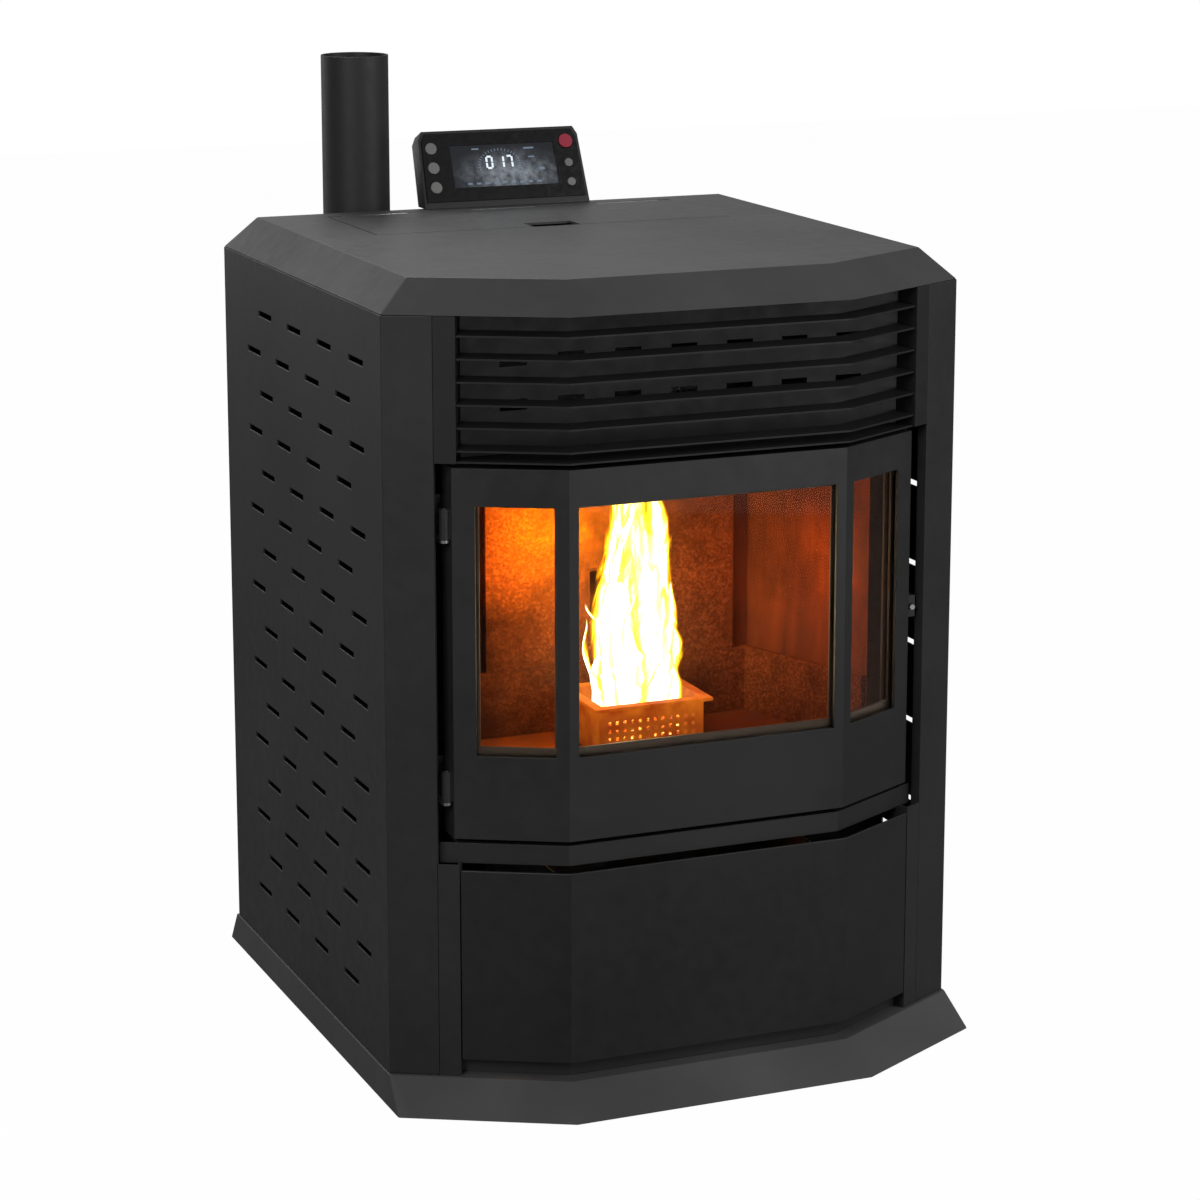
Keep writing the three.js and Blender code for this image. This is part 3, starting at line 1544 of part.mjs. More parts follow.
const panel = new THREE.Group();
panel.position.set(consoleX, consoleFront, topHeight + seat);
panel.rotation.x = THREE.MathUtils.degToRad(90 - consoleLean);
stove.add(panel);
add('console_housing', consoleHousing(), 'plastic', panel);
add('console_fascia', consoleFascia(), 'fascia', panel);
add('display', display(), 'display', panel);
for (const button of buttons) {
  const finish = { color: button.colour, roughness: 0.45, metalness: 0 };
  const cap = add(button.name, buttonCap(button.radius), finish, panel);
  cap.position.set(button.x, buttonHeight(button), 0);
}

add('control_board', controlBoard(), 'board');
add('power_inlet', powerInlet(), 'plastic');
add('power_switch_rocker', rocker(), 'plastic').position.set(inletX, casingDepth, switchZ);

export default stove;
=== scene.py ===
import math
import random

import bmesh
import bpy
from mathutils import Euler, Matrix, Vector, noise


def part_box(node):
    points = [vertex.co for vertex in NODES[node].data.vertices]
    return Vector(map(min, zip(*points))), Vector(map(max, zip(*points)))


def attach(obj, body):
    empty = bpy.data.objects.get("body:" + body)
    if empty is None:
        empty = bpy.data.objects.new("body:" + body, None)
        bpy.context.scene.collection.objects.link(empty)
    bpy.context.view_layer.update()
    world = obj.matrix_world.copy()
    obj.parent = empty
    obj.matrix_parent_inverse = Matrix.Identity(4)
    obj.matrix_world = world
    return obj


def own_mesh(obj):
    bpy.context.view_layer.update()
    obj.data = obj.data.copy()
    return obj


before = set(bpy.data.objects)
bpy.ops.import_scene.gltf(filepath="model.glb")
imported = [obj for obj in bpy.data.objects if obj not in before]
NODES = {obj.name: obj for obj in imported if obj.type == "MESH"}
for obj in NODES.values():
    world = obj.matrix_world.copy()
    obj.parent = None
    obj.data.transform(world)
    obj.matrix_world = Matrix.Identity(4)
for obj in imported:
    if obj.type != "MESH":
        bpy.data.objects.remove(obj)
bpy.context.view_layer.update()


# ---------------------------------------------------------------- materials

class Nodes:
    """A short way to build one material's node tree."""

    def __init__(self, name):
        self.material = bpy.data.materials.new(name)
        self.material.use_nodes = True
        self.tree = self.material.node_tree
        self.tree.nodes.clear()
        self.out = self.add("ShaderNodeOutputMaterial")
        self.coords = self.add("ShaderNodeTexCoord")

    def add(self, kind, **settings):
        node = self.tree.nodes.new(kind)
        for key, value in settings.items():
            setattr(node, key, value)
        return node

    def link(self, a, b):
        self.tree.links.new(a, b)

    def put(self, socket, value):
        if isinstance(value, bpy.types.NodeSocket):
            self.link(value, socket)
        else:
            socket.default_value = value

    def place(self, scale=(1, 1, 1), shift=(0, 0, 0), turn=(0, 0, 0), kind="Object"):
        node = self.add("ShaderNodeMapping")
        node.inputs["Scale"].default_value = scale
        node.inputs["Location"].default_value = shift
        node.inputs["Rotation"].default_value = turn
        self.link(self.coords.outputs[kind], node.inputs["Vector"])
        return node.outputs["Vector"]

    def noise(self, scale, detail=3.0, rough=0.5, warp=0.0, vector=None):
        node = self.add("ShaderNodeTexNoise")
        node.inputs["Scale"].default_value = scale
        node.inputs["Detail"].default_value = detail
        node.inputs["Roughness"].default_value = rough
        node.inputs["Distortion"].default_value = warp
        self.link(vector or self.coords.outputs["Object"], node.inputs["Vector"])
        return node.outputs["Fac"]

    def cells(self, scale, feature="F1", vector=None, output="Distance"):
        node = self.add("ShaderNodeTexVoronoi", feature=feature)
        node.inputs["Scale"].default_value = scale
        self.link(vector or self.coords.outputs["Object"], node.inputs["Vector"])
        return node.outputs[output]

    def span(self, value, a, b, c, d, smooth=False):
        node = self.add("ShaderNodeMapRange")
        node.interpolation_type = "SMOOTHSTEP" if smooth else "LINEAR"
        node.clamp = True if not smooth else node.clamp
        self.link(value, node.inputs["Value"])
        for key, number in zip(("From Min", "From Max", "To Min", "To Max"), (a, b, c, d)):
            node.inputs[key].default_value = number
        return node.outputs["Result"]

    def math(self, operation, a, b=0.0, clamp=False):
        node = self.add("ShaderNodeMath", operation=operation, use_clamp=clamp)
        self.put(node.inputs[0], a)
        self.put(node.inputs[1], b)
        return node.outputs[0]

    def ramp(self, value, stops):
        node = self.add("ShaderNodeValToRGB")
        ramp = node.color_ramp
        while len(ramp.elements) < len(stops):
            ramp.elements.new(0.5)
        for element, (place, colour) in zip(ramp.elements, stops):
            element.position = place
            element.color = (*colour, 1) if len(colour) == 3 else colour
        self.link(value, node.inputs["Fac"])
        return node.outputs["Color"]

    def mix(self, factor, a, b, mode="MIX"):
        node = self.add("ShaderNodeMix", data_type="RGBA", blend_type=mode)
        self.put(node.inputs["Factor"], factor)
        for socket, colour in ((node.inputs[6], a), (node.inputs[7], b)):
            self.put(socket, (*colour, 1) if isinstance(colour, tuple) and len(colour) == 3 else colour)
        return node.outputs[2]

    def bump(self, height, strength, distance, normal=None):
        node = self.add("ShaderNodeBump")
        node.inputs["Strength"].default_value = strength
        node.inputs["Distance"].default_value = distance
        self.link(height, node.inputs["Height"])
        if normal is not None:
            self.link(normal, node.inputs["Normal"])
        return node.outputs["Normal"]

    def shader(self, **values):
        node = self.add("ShaderNodeBsdfPrincipled")
        for key, value in values.items():
            name = key.replace("_", " ")
            if isinstance(value, tuple) and len(value) == 3:
                value = (*value, 1)
            self.put(node.inputs[name], value)
        self.link(node.outputs[0], self.out.inputs["Surface"])
        return node


def grey(value):
    return (value, value, value * 1.01)


def paint(name, tone, roughness=0.42, grain=0.18, tint=(1.0, 1.0, 1.01), specular=0.5):
    """Powder-coated steel: fine orange-peel grain, faint clouding, dust-grey wear."""
    n = Nodes(name)
    cloud = n.noise(5.0, 4.0)
    fine = n.noise(900.0, 2.0)
    speck = n.noise(2600.0, 1.0)
    low = tuple(tone * 0.82 * t for t in tint)
    high = tuple(tone * 1.2 * t for t in tint)
    base = n.mix(n.span(cloud, 0.35, 0.65, 0, 1), low, high)
    base = n.mix(n.span(speck, 0.60, 0.78, 0.0, 0.35), base, tuple(tone * 2.4 * t for t in tint))
    rough = n.span(n.noise(60.0, 3.0), 0.3, 0.7, roughness - 0.05, roughness + 0.07)
    peel = n.bump(n.noise(260.0, 2.0), grain * 0.5, 0.0006)
    normal = n.bump(fine, grain, 0.00025, peel)
    n.shader(Base_Color=base, Roughness=rough, Normal=normal, Specular_IOR_Level=specular)
    return n.material


def galvanised(name, tone=0.42, roughness=0.38):
    n = Nodes(name)
    spangle = n.cells(85.0, output="Color")
    flake = n.add("ShaderNodeSeparateColor")
    n.link(spangle, flake.inputs[0])
    shade = n.span(flake.outputs[0], 0, 1, 0.72, 1.12)
    base = n.mix(n.noise(9.0, 5.0), grey(tone * 0.8), grey(tone * 1.15))
    tinted = n.add("ShaderNodeMix", data_type="RGBA", blend_type="MULTIPLY")
    tinted.inputs["Factor"].default_value = 1.0
    n.link(base, tinted.inputs[6])
    grade = n.ramp(flake.outputs[0], [(0.0, grey(0.74)), (1.0, grey(1.0))])
    n.link(grade, tinted.inputs[7])
    rough = n.math("MULTIPLY", shade, roughness)
    normal = n.bump(n.noise(420.0, 2.0), 0.08, 0.0004)
    n.shader(Base_Color=tinted.outputs[2], Metallic=0.9, Roughness=rough, Normal=normal)
    return n.material


def steel(name, tone=0.5, roughness=0.32, axis=(1, 1, 1)):
    n = Nodes(name)
    lines = n.noise(300.0, 3.0, vector=n.place(scale=axis))
    base = n.mix(lines, grey(tone * 0.8), grey(tone * 1.1))
    rough = n.span(n.noise(40.0, 4.0), 0.3, 0.7, roughness - 0.08, roughness + 0.1)
    n.shader(Base_Color=base, Metallic=1.0, Roughness=rough, Normal=n.bump(lines, 0.12, 0.0003))
    return n.material


def cast(name, tone=(0.05, 0.03, 0.02), glow=0.0):
    n = Nodes(name)
    rust = n.noise(28.0, 6.0, 0.65)
    base = n.mix(n.span(rust, 0.4, 0.68, 0, 1), tone, tuple(c * 2.1 for c in tone))
    pits = n.noise(520.0, 3.0)
    normal = n.bump(pits, 0.4, 0.0007)
    shader = n.shader(Base_Color=base, Roughness=n.span(rust, 0.3, 0.7, 0.7, 0.92), Normal=normal,
                      Specular_IOR_Level=0.15)
    if glow:
        heat = n.ramp(n.noise(45.0, 4.0), [(0.35, (0.55, 0.075, 0.002)), (0.65, (1.0, 0.26, 0.012))])
        n.link(heat, shader.inputs["Emission Color"])
        height = n.add("ShaderNodeSeparateXYZ")
        n.link(n.coords.outputs["Object"], height.inputs[0])
        low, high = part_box("burn_pot")
        n.put(shader.inputs["Emission Strength"], n.span(height.outputs[2], low.z, high.z, glow * 0.35, glow))
    return n.material


def chamber_steel():
    """The chamber's walls: heat-browned steel with streaks of soot and pale ash."""
    n = Nodes("chamber_steel")
    streak = n.noise(1.0, 6.0, 0.6, 0.4, n.place(scale=(26, 26, 5)))
    soot = n.noise(9.0, 5.0, 0.6)
    base = n.ramp(streak, [(0.3, (0.05, 0.016, 0.006)), (0.55, (0.11, 0.036, 0.012)), (0.8, (0.19, 0.07, 0.022))])
    base = n.mix(n.span(soot, 0.42, 0.72, 0.0, 0.85), base, (0.014, 0.006, 0.003))
    ash = n.span(n.noise(160.0, 4.0), 0.66, 0.78, 0.0, 0.3)
    base = n.mix(ash, base, (0.22, 0.12, 0.06))
    normal = n.bump(n.noise(210.0, 4.0), 0.25, 0.0006)
    n.shader(Base_Color=base, Roughness=n.span(streak, 0.3, 0.7, 0.5, 0.8), Normal=normal,
             Specular_IOR_Level=0.12)
    return n.material


def liner_board():
    """Vermiculite board: golden-brown flakes, smoke-darkened towards the fire."""
    n = Nodes("liner_board")
    flakes = n.cells(420.0, output="Color")
    part = n.add("ShaderNodeSeparateColor")
    n.link(flakes, part.inputs[0])
    base = n.ramp(part.outputs[0], [(0.0, (0.075, 0.026, 0.010)), (0.6, (0.11, 0.040, 0.014)), (1.0, (0.17, 0.068, 0.026))])
    smoke = n.noise(9.0, 6.0, 0.65)
    base = n.mix(n.span(smoke, 0.42, 0.66, 0.0, 0.85), base, (0.018, 0.007, 0.004))
    height = n.math("ADD", n.noise(330.0, 3.0), n.cells(420.0))
    n.shader(Base_Color=base, Roughness=0.9, Normal=n.bump(height, 0.25, 0.0006), Specular_IOR_Level=0.1)
    return n.material


def clear_glass():
    """Ceramic door glass, very slightly smoked, with a trace of haze at its surface."""
    n = Nodes("door_glass")
    haze = n.noise(11.0, 5.0, 0.6)
    rough = n.span(haze, 0.45, 0.8, 0.0, 0.05)
    tint = n.mix(n.span(haze, 0.4, 0.8, 0, 1), (0.97, 0.84, 0.72), (0.92, 0.76, 0.62))
    n.shader(Base_Color=tint, Roughness=rough, IOR=1.12, Transmission_Weight=1.0)
    return n.material


def rope(name):
    """Braided glass-fibre rope."""
    n = Nodes(name)
    first = n.add("ShaderNodeTexWave", wave_type="BANDS", bands_direction="DIAGONAL")
    first.inputs["Scale"].default_value = 110.0
    first.inputs["Distortion"].default_value = 1.5
    n.link(n.place(), first.inputs["Vector"])
    second = n.add("ShaderNodeTexWave", wave_type="BANDS", bands_direction="DIAGONAL")
    second.inputs["Scale"].default_value = 110.0
    second.inputs["Distortion"].default_value = 1.5
    n.link(n.place(scale=(-1, 1, 1)), second.inputs["Vector"])
    weave = n.math("MAXIMUM", first.outputs["Fac"], second.outputs["Fac"])
    base = n.mix(weave, (0.03, 0.028, 0.025), (0.16, 0.15, 0.14))
    n.shader(Base_Color=base, Roughness=0.95, Normal=n.bump(weave, 0.7, 0.001), Sheen_Weight=0.2)
    return n.material


def plastic(name, tone, roughness=0.4, grain=0.15, specular=0.5):
    n = Nodes(name)
    base = n.mix(n.noise(30.0, 3.0), tuple(c * 0.85 for c in tone), tuple(c * 1.15 for c in tone))
    rough = n.span(n.noise(150.0, 2.0), 0.3, 0.7, roughness - 0.04, roughness + 0.06)
    normal = n.bump(n.noise(1500.0, 2.0), grain, 0.0002)
    n.shader(Base_Color=base, Roughness=rough, Normal=normal, Specular_IOR_Level=specular)
    return n.material


def circuit_board():
    n = Nodes("circuit_board")
    tracks = n.add("ShaderNodeTexBrick")
    tracks.inputs["Scale"].default_value = 90.0
    tracks.inputs["Color1"].default_value = (0.012, 0.10, 0.035, 1)
    tracks.inputs["Color2"].default_value = (0.018, 0.14, 0.05, 1)
    tracks.inputs["Mortar"].default_value = (0.05, 0.30, 0.12, 1)
    n.link(n.place(turn=(math.pi / 2, 0, 0)), tracks.inputs["Vector"])
    n.shader(Base_Color=tracks.outputs["Color"], Roughness=0.35, Normal=n.bump(n.noise(700.0), 0.15, 0.0003))
    return n.material


def flame_material():
    """Flame sheets: hot in the middle and at the foot, torn and red at the rim. UV: across, up."""
    n = Nodes("flame")
    split = n.add("ShaderNodeSeparateXYZ")
    n.link(n.coords.outputs["UV"], split.inputs[0])
    across, up = split.outputs[0], split.outputs[1]
    off = n.math("ABSOLUTE", n.math("SUBTRACT", n.math("MULTIPLY", across, 2.0), 1.0))
    body = n.math("SUBTRACT", 1.0, n.math("POWER", off, 1.6))
    lick = n.noise(1.0, 4.0, 0.55, 1.1, n.place(scale=(48, 48, 15)))
    curl = n.noise(1.0, 2.0, 0.5, 0.6, n.place(scale=(17, 17, 9), shift=(3, 1, 0)))
    torn = n.math("ADD", n.math("MULTIPLY", lick, 1.25), n.math("MULTIPLY", curl, 0.75))
    field = n.math("ADD", n.math("MULTIPLY", body, 1.15), n.math("SUBTRACT", torn, 1.0))
    field = n.math("SUBTRACT", field, n.math("MULTIPLY", n.math("POWER", up, 1.6), 0.42))
    foot = n.span(up, 0.0, 0.06, 0.0, 1.0, smooth=True)
    tip = n.span(up, 0.90, 1.0, 1.0, 0.0, smooth=True)
    rim = n.span(off, 0.70, 1.0, 1.0, 0.0, smooth=True)
    alpha = n.span(field, 0.12, 0.78, 0.0, 1.0, smooth=True)
    for edge in (foot, tip, rim):
        alpha = n.math("MULTIPLY", alpha, edge)
    colour = n.ramp(field, [
        (0.10, (1.0, 0.14, 0.0)), (0.30, (1.0, 0.34, 0.003)), (0.48, (1.0, 0.62, 0.008)),
        (0.64, (1.0, 0.86, 0.08)), (0.84, (1.0, 0.97, 0.80)),
    ])
    power = n.span(field, 0.15, 0.80, 0.8, 5.0)
    n.shader(
        Base_Color=(0, 0, 0), Roughness=1.0, Specular_IOR_Level=0.0,
        Emission_Color=colour, Emission_Strength=power, Alpha=alpha,
    )
    return n.material


def ember_material():
    n = Nodes("embers")
    crust = n.noise(240.0, 5.0, 0.6)
    heat = n.noise(38.0, 3.0)
    hot = n.math("MULTIPLY", n.span(crust, 0.38, 0.62, 0, 1), n.span(heat, 0.3, 0.6, 0.35, 1))
    base = n.mix(hot, (0.02, 0.012, 0.01), (0.3, 0.08, 0.02))
    glow = n.ramp(hot, [(0.0, (0.18, 0.01, 0.0)), (0.45, (1.0, 0.16, 0.01)), (0.8, (1.0, 0.45, 0.06)), (1.0, (1.0, 0.8, 0.3))])
    n.shader(
        Base_Color=base, Roughness=0.9, Emission_Color=glow, Emission_Strength=n.span(hot, 0, 1, 0.3, 4.5),
        Normal=n.bump(crust, 0.4, 0.0008),
    )
    return n.material


def lcd_material():
    """The display: a dim blue-grey backlight, brighter round the middle, under a glossy window."""
    n = Nodes("display_window")
    lo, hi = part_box("display")
    mid = (lo + hi) / 2
    size = hi - lo
    shift = n.add("ShaderNodeVectorMath", operation="SUBTRACT")
    n.link(n.coords.outputs["Object"], shift.inputs[0])
    shift.inputs[1].default_value = (mid.x + 0.008, mid.y, mid.z - 0.010)
    flat = n.add("ShaderNodeVectorMath", operation="MULTIPLY")
    n.link(shift.outputs[0], flat.inputs[0])
    flat.inputs[1].default_value = (1.8 / size.x, 0.0, 1.7 / size.z)
    length = n.add("ShaderNodeVectorMath", operation="LENGTH")
    n.link(flat.outputs[0], length.inputs[0])
    pool = n.span(length.outputs["Value"], 0.0, 1.15, 1.0, 0.0, smooth=True)
    cloud = n.noise(110.0, 5.0, 0.6)
    level = n.math("MULTIPLY", pool, n.span(cloud, 0.36, 0.64, 0.25, 1.1))
    glow = n.mix(level, (0.010, 0.011, 0.013), (0.21, 0.235, 0.265))
    n.shader(Base_Color=(0.012, 0.013, 0.015), Roughness=0.12, Emission_Color=glow, Emission_Strength=1.0,
             Specular_IOR_Level=0.4)
    return n.material


def glowing(name, colour, strength):
    n = Nodes(name)
    level = n.span(n.noise(900.0, 2.0), 0.3, 0.7, strength * 0.85, strength * 1.1)
    n.shader(Base_Color=(0.02, 0.02, 0.02), Roughness=0.4, Emission_Color=colour, Emission_Strength=level)
    return n.material


casing_paint = paint("casing_paint", 0.030, 0.46)
# The top plate and hopper lid take the casing's black powder coat at over twice its tone: this extra lightness is
# painted light from above.
top_paint = paint("top_paint", 0.068, 0.46)
plinth_paint = paint("plinth_paint", 0.090, 0.46)
door_paint = paint("door_paint", 0.028, 0.42)
panel_paint = paint("panel_paint", 0.020, 0.40)
grille_paint = paint("grille_paint", 0.010, 0.5)
flue_enamel = paint("flue_enamel", 0.022, 0.5)
zinc = galvanised("galvanised")
plain_steel = steel("plain_steel")
iron = cast("cast_iron")
hot_iron = cast("hot_iron", (0.10, 0.04, 0.015), 0.62)
motor_paint = paint("motor_paint", 0.09, 0.45)
chamber = chamber_steel()
board = liner_board()
glass = clear_glass()
gasket = rope("gasket_rope")
black_plastic = plastic("black_plastic", (0.012, 0.012, 0.013), 0.36)
fascia_film = plastic("fascia_film", (0.006, 0.006, 0.007), 0.16, 0.03, 0.4)
grey_button = plastic("grey_button", (0.26, 0.26, 0.255), 0.34)
red_button = plastic("red_button", (0.50, 0.02, 0.06), 0.35)
green_board = circuit_board()
display_window = lcd_material()

FINISH = {
    "plinth": plinth_paint,
    "base_pan": zinc,
    "left_side_panel": casing_paint,
    "right_side_panel": casing_paint,
    "rear_panel": casing_paint,
    "top_plate": top_paint,
    "hopper_lid": top_paint,
    "lid_hinge_leaf": plain_steel,
    "grille": grille_paint,
    "air_outlet_plate": grille_paint,
    "lower_frame": casing_paint,
    "ash_drawer_front": panel_paint,
    "ash_box": zinc,
    "drawer_runner_left": zinc,
    "drawer_runner_right": zinc,
    "door_frame": door_paint,
    "centre_glass": glass,
    "left_glass": glass,
    "right_glass": glass,
    "glass_retainer": door_paint,
    "door_gasket": gasket,
    "door_hinge_lower": plain_steel,
    "door_hinge_upper": plain_steel,
    "door_latch": plain_steel,
    "fire_chamber": chamber,
    "chamber_liner": board,
    "chamber_back_plate": board,
    "baffle_plate": iron,
    "burn_pot": hot_iron,
    "burn_pot_air_box": zinc,
    "igniter": plain_steel,
    "air_intake_pipe": zinc,
    "hopper": zinc,
    "auger_tube": zinc,
    "auger_screw": plain_steel,
    "auger_motor": motor_paint,
    "feed_chute": chamber,
    "exhaust_duct": zinc,
    "exhaust_fan_housing": iron,
    "exhaust_impeller": plain_steel,
    "exhaust_motor": motor_paint,
    "flue_tee": flue_enamel,
    "flue_tee_cap": flue_enamel,
    "flue_pipe": flue_enamel,
    "convection_fan_housing": zinc,
    "convection_drum": motor_paint,
    "convection_motor": motor_paint,
    "warm_air_duct": zinc,
    "console_housing": black_plastic,
    "console_fascia": fascia_film,
    "display": display_window,
    "button_left_upper": grey_button,
    "button_left_middle": grey_button,
    "button_left_lower": grey_button,
    "button_power": red_button,
    "button_right_middle": grey_button,
    "button_right_lower": grey_button,
    "control_board": green_board,
    "power_inlet": black_plastic,
    "power_switch_rocker": black_plastic,
}

# Fine edges: a folded sheet or cast edge is never razor sharp.
SOFT_EDGES = {
    "plinth": 0.0012, "left_side_panel": 0.0009, "right_side_panel": 0.0009, "rear_panel": 0.0008,
    "top_plate": 0.0014, "hopper_lid": 0.0008, "grille": 0.0006, "lower_frame": 0.0008,
    "ash_drawer_front": 0.0009, "door_frame": 0.0011, "glass_retainer": 0.0006, "burn_pot": 0.0010,
    "chamber_liner": 0.0008, "chamber_back_plate": 0.0008, "console_housing": 0.0016,
    "console_fascia": 0.0004, "flue_pipe": 0.0005, "flue_tee": 0.0006, "flue_tee_cap": 0.0008,
    "power_inlet": 0.0006, "power_switch_rocker": 0.0005,
}


def smooth_nodes():
    """One node group for every CAD node: weld its corners and shade it smooth except at real edges."""
    group = bpy.data.node_groups.new("soften", "GeometryNodeTree")
    group.interface.new_socket("Geometry", in_out="INPUT", socket_type="NodeSocketGeometry")
    group.interface.new_socket("Geometry", in_out="OUTPUT", socket_type="NodeSocketGeometry")
    start = group.nodes.new("NodeGroupInput")
    end = group.nodes.new("NodeGroupOutput")
    weld = group.nodes.new("GeometryNodeMergeByDistance")
    weld.inputs["Distance"].default_value = 0.00001
    faces = group.nodes.new("GeometryNodeSetShadeSmooth")
    faces.domain = "FACE"
    edges = group.nodes.new("GeometryNodeSetShadeSmooth")
    edges.domain = "EDGE"
    edges.inputs["Shade Smooth"].default_value = False
    angle = group.nodes.new("GeometryNodeInputMeshEdgeAngle")
    sharp = group.nodes.new("FunctionNodeCompare")
    sharp.data_type = "FLOAT"
    sharp.operation = "GREATER_THAN"
    sharp.inputs[1].default_value = math.radians(27)
    link = group.links.new
    link(start.outputs[0], weld.inputs["Geometry"])
    link(weld.outputs[0], faces.inputs["Geometry"])
    link(faces.outputs[0], edges.inputs["Geometry"])
    link(angle.outputs["Unsigned Angle"], sharp.inputs[0])
    link(sharp.outputs[0], edges.inputs["Selection"])
    link(edges.outputs[0], end.inputs[0])
    return group


soften = smooth_nodes()
for name, obj in NODES.items():
    obj.data.materials.clear()
    obj.data.materials.append(FINISH[name])
    tidy = obj.modifiers.new("soften", "NODES")
    tidy.node_group = soften
    if name in SOFT_EDGES:
        edge = obj.modifiers.new("edge", "BEVEL")
        edge.width = SOFT_EDGES[name]
        edge.segments = 2
        edge.limit_method = "ANGLE"
        edge.angle_limit = math.radians(27)
        edge.harden_normals = True


# ---------------------------------------------------------------- pieces

def piece(name, mesh, material, body):
    obj = bpy.data.objects.new(name, mesh)
    bpy.context.scene.collection.objects.link(obj)
    mesh.materials.append(material)
    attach(obj, body)
    return obj


pot_low, pot_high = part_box("burn_pot")
pot_mid = (pot_low + pot_high) / 2
POT_FLOOR = pot_low.z + 0.0045
POT_RIM = pot_high.z


def flame_sheet(bm, layer, rng, base, height, width, heading, lean, twist, taper=0.42):
    """One torn tongue: a curved sheet that rises from base, narrows, sways and twists."""
    across, up = 10, 26
    rows = []
    seed = Vector((rng.random() * 50, rng.random() * 50, rng.random() * 50))
    for j in range(up + 1):
        v = j / up
        sway = noise.noise_vector(seed + Vector((0, 0, v * 2.3))) * (0.014 + 0.012 * v) * min(1, v * 3)
        centre = base + Vector((lean[0] * v * v + sway.x, lean[1] * v * v + sway.y, height * v))
        turn = heading + twist * v
        span = width * (0.70 + 0.55 * math.sin(math.pi * min(1, 0.20 + v * 0.75))) * (1 - taper * v ** 1.3)
        row = []
        for i in range(across + 1):
            u = i / across
            s = (u - 0.5) * span
            bow = math.cos((u - 0.5) * math.pi) * span * 0.22
            x = math.cos(turn) * s - math.sin(turn) * bow
            y = math.sin(turn) * s + math.cos(turn) * bow
            row.append((bm.verts.new(centre + Vector((x, y, 0))), (u, v)))
        rows.append(row)
    for j in range(up):
        for i in range(across):
            corners = (rows[j][i], rows[j][i + 1], rows[j + 1][i + 1], rows[j + 1][i])
            face = bm.faces.new([c[0] for c in corners])
            face.smooth = True
            for loop, corner in zip(face.loops, corners):
                loop[layer].uv = corner[1]


def flames():
    rng = random.Random(11)
    bm = bmesh.new()
    layer = bm.loops.layers.uv.new("UVMap")
    foot = Vector((pot_mid.x, pot_mid.y, POT_RIM - 0.016))
    for k in range(9):
        heading = math.pi * k / 9 + 0.25
        base = foot + Vector((rng.uniform(-0.012, 0.010), rng.uniform(-0.010, 0.010), 0))
        flame_sheet(bm, layer, rng, base, rng.uniform(0.248, 0.262), rng.uniform(0.072, 0.086), heading,
                    (rng.uniform(-0.006, 0.006), rng.uniform(-0.008, 0.008)), rng.uniform(-0.5, 0.5))
    for k in range(10):
        heading = math.pi * k / 10
        around = 2 * math.pi * k / 10
        base = foot + Vector((math.cos(around) * 0.038, math.sin(around) * 0.024, 0))
        flame_sheet(bm, layer, rng, base, rng.uniform(0.10, 0.175), rng.uniform(0.036, 0.052), heading,
                    (math.cos(around) * 0.010, math.sin(around) * 0.006), rng.uniform(-0.7, 0.7), 0.8)
    mesh = bpy.data.meshes.new("flames")
    bm.to_mesh(mesh)
    bm.free()
    fire = piece("flames", mesh, flame_material(), "casing")
    # Lifting the pot shortens the flames from below: their tops stay under the baffle.
    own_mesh(fire)
    return fire


def embers():
    """Burning pellets heaped in the pot."""
    rng = random.Random(5)
    bm = bmesh.new()
    half_x = (pot_high.x - pot_low.x) / 2 - 0.020
    half_y = (pot_high.y - pot_low.y) / 2 - 0.020
    for layer in range(5):
        z = POT_FLOOR + 0.006 + layer * 0.0082
        room = 1 - 0.07 * layer
        for _ in range(34 if layer > 1 else 20):
            x = rng.uniform(-half_x, half_x) * room
            y = rng.uniform(-half_y, half_y) * room
            length = rng.uniform(0.009, 0.016)
            spin = Euler((rng.uniform(1.1, 2.0), rng.uniform(0, 0.5), rng.uniform(0, math.pi))).to_matrix().to_4x4()
            place = Matrix.Translation((pot_mid.x + x, pot_mid.y + y, z + rng.uniform(-0.002, 0.002))) @ spin
            made = bmesh.ops.create_cone(bm, cap_ends=True, segments=8, radius1=0.003, radius2=0.0029,
                                         depth=length, matrix=place)
            for vert in made["verts"]:
                vert.co += noise.noise_vector(vert.co * 300) * 0.0004
    for face in bm.faces:
        face.smooth = len(face.verts) == 4
    mesh = bpy.data.meshes.new("embers")
    bm.to_mesh(mesh)
    bm.free()
    return piece("embers", mesh, ember_material(), "pot")


flames()
embers()

# The console's frame, from the CAD display: along it, up its face, out of its face.
LEAN = math.radians(23)
ALONG = Vector((1, 0, 0))
UP = Vector((0, math.sin(LEAN), math.cos(LEAN)))
OUT = Vector((0, -math.cos(LEAN), math.sin(LEAN)))
display_low, display_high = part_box("display")
FACE = Vector(((display_low.x + display_high.x) / 2, display_low.y, display_high.z))
face_height = (display_high.z - display_low.z - 0.003 * math.sin(LEAN)) / math.cos(LEAN)
# The display's front face: its top edge is the highest point, its foot is the most forward one.
front_foot = Vector((FACE.x, display_low.y, 0))
front_foot.z = display_low.z + 0.003 * math.sin(LEAN)
DISPLAY_CENTRE = front_foot + UP * face_height / 2


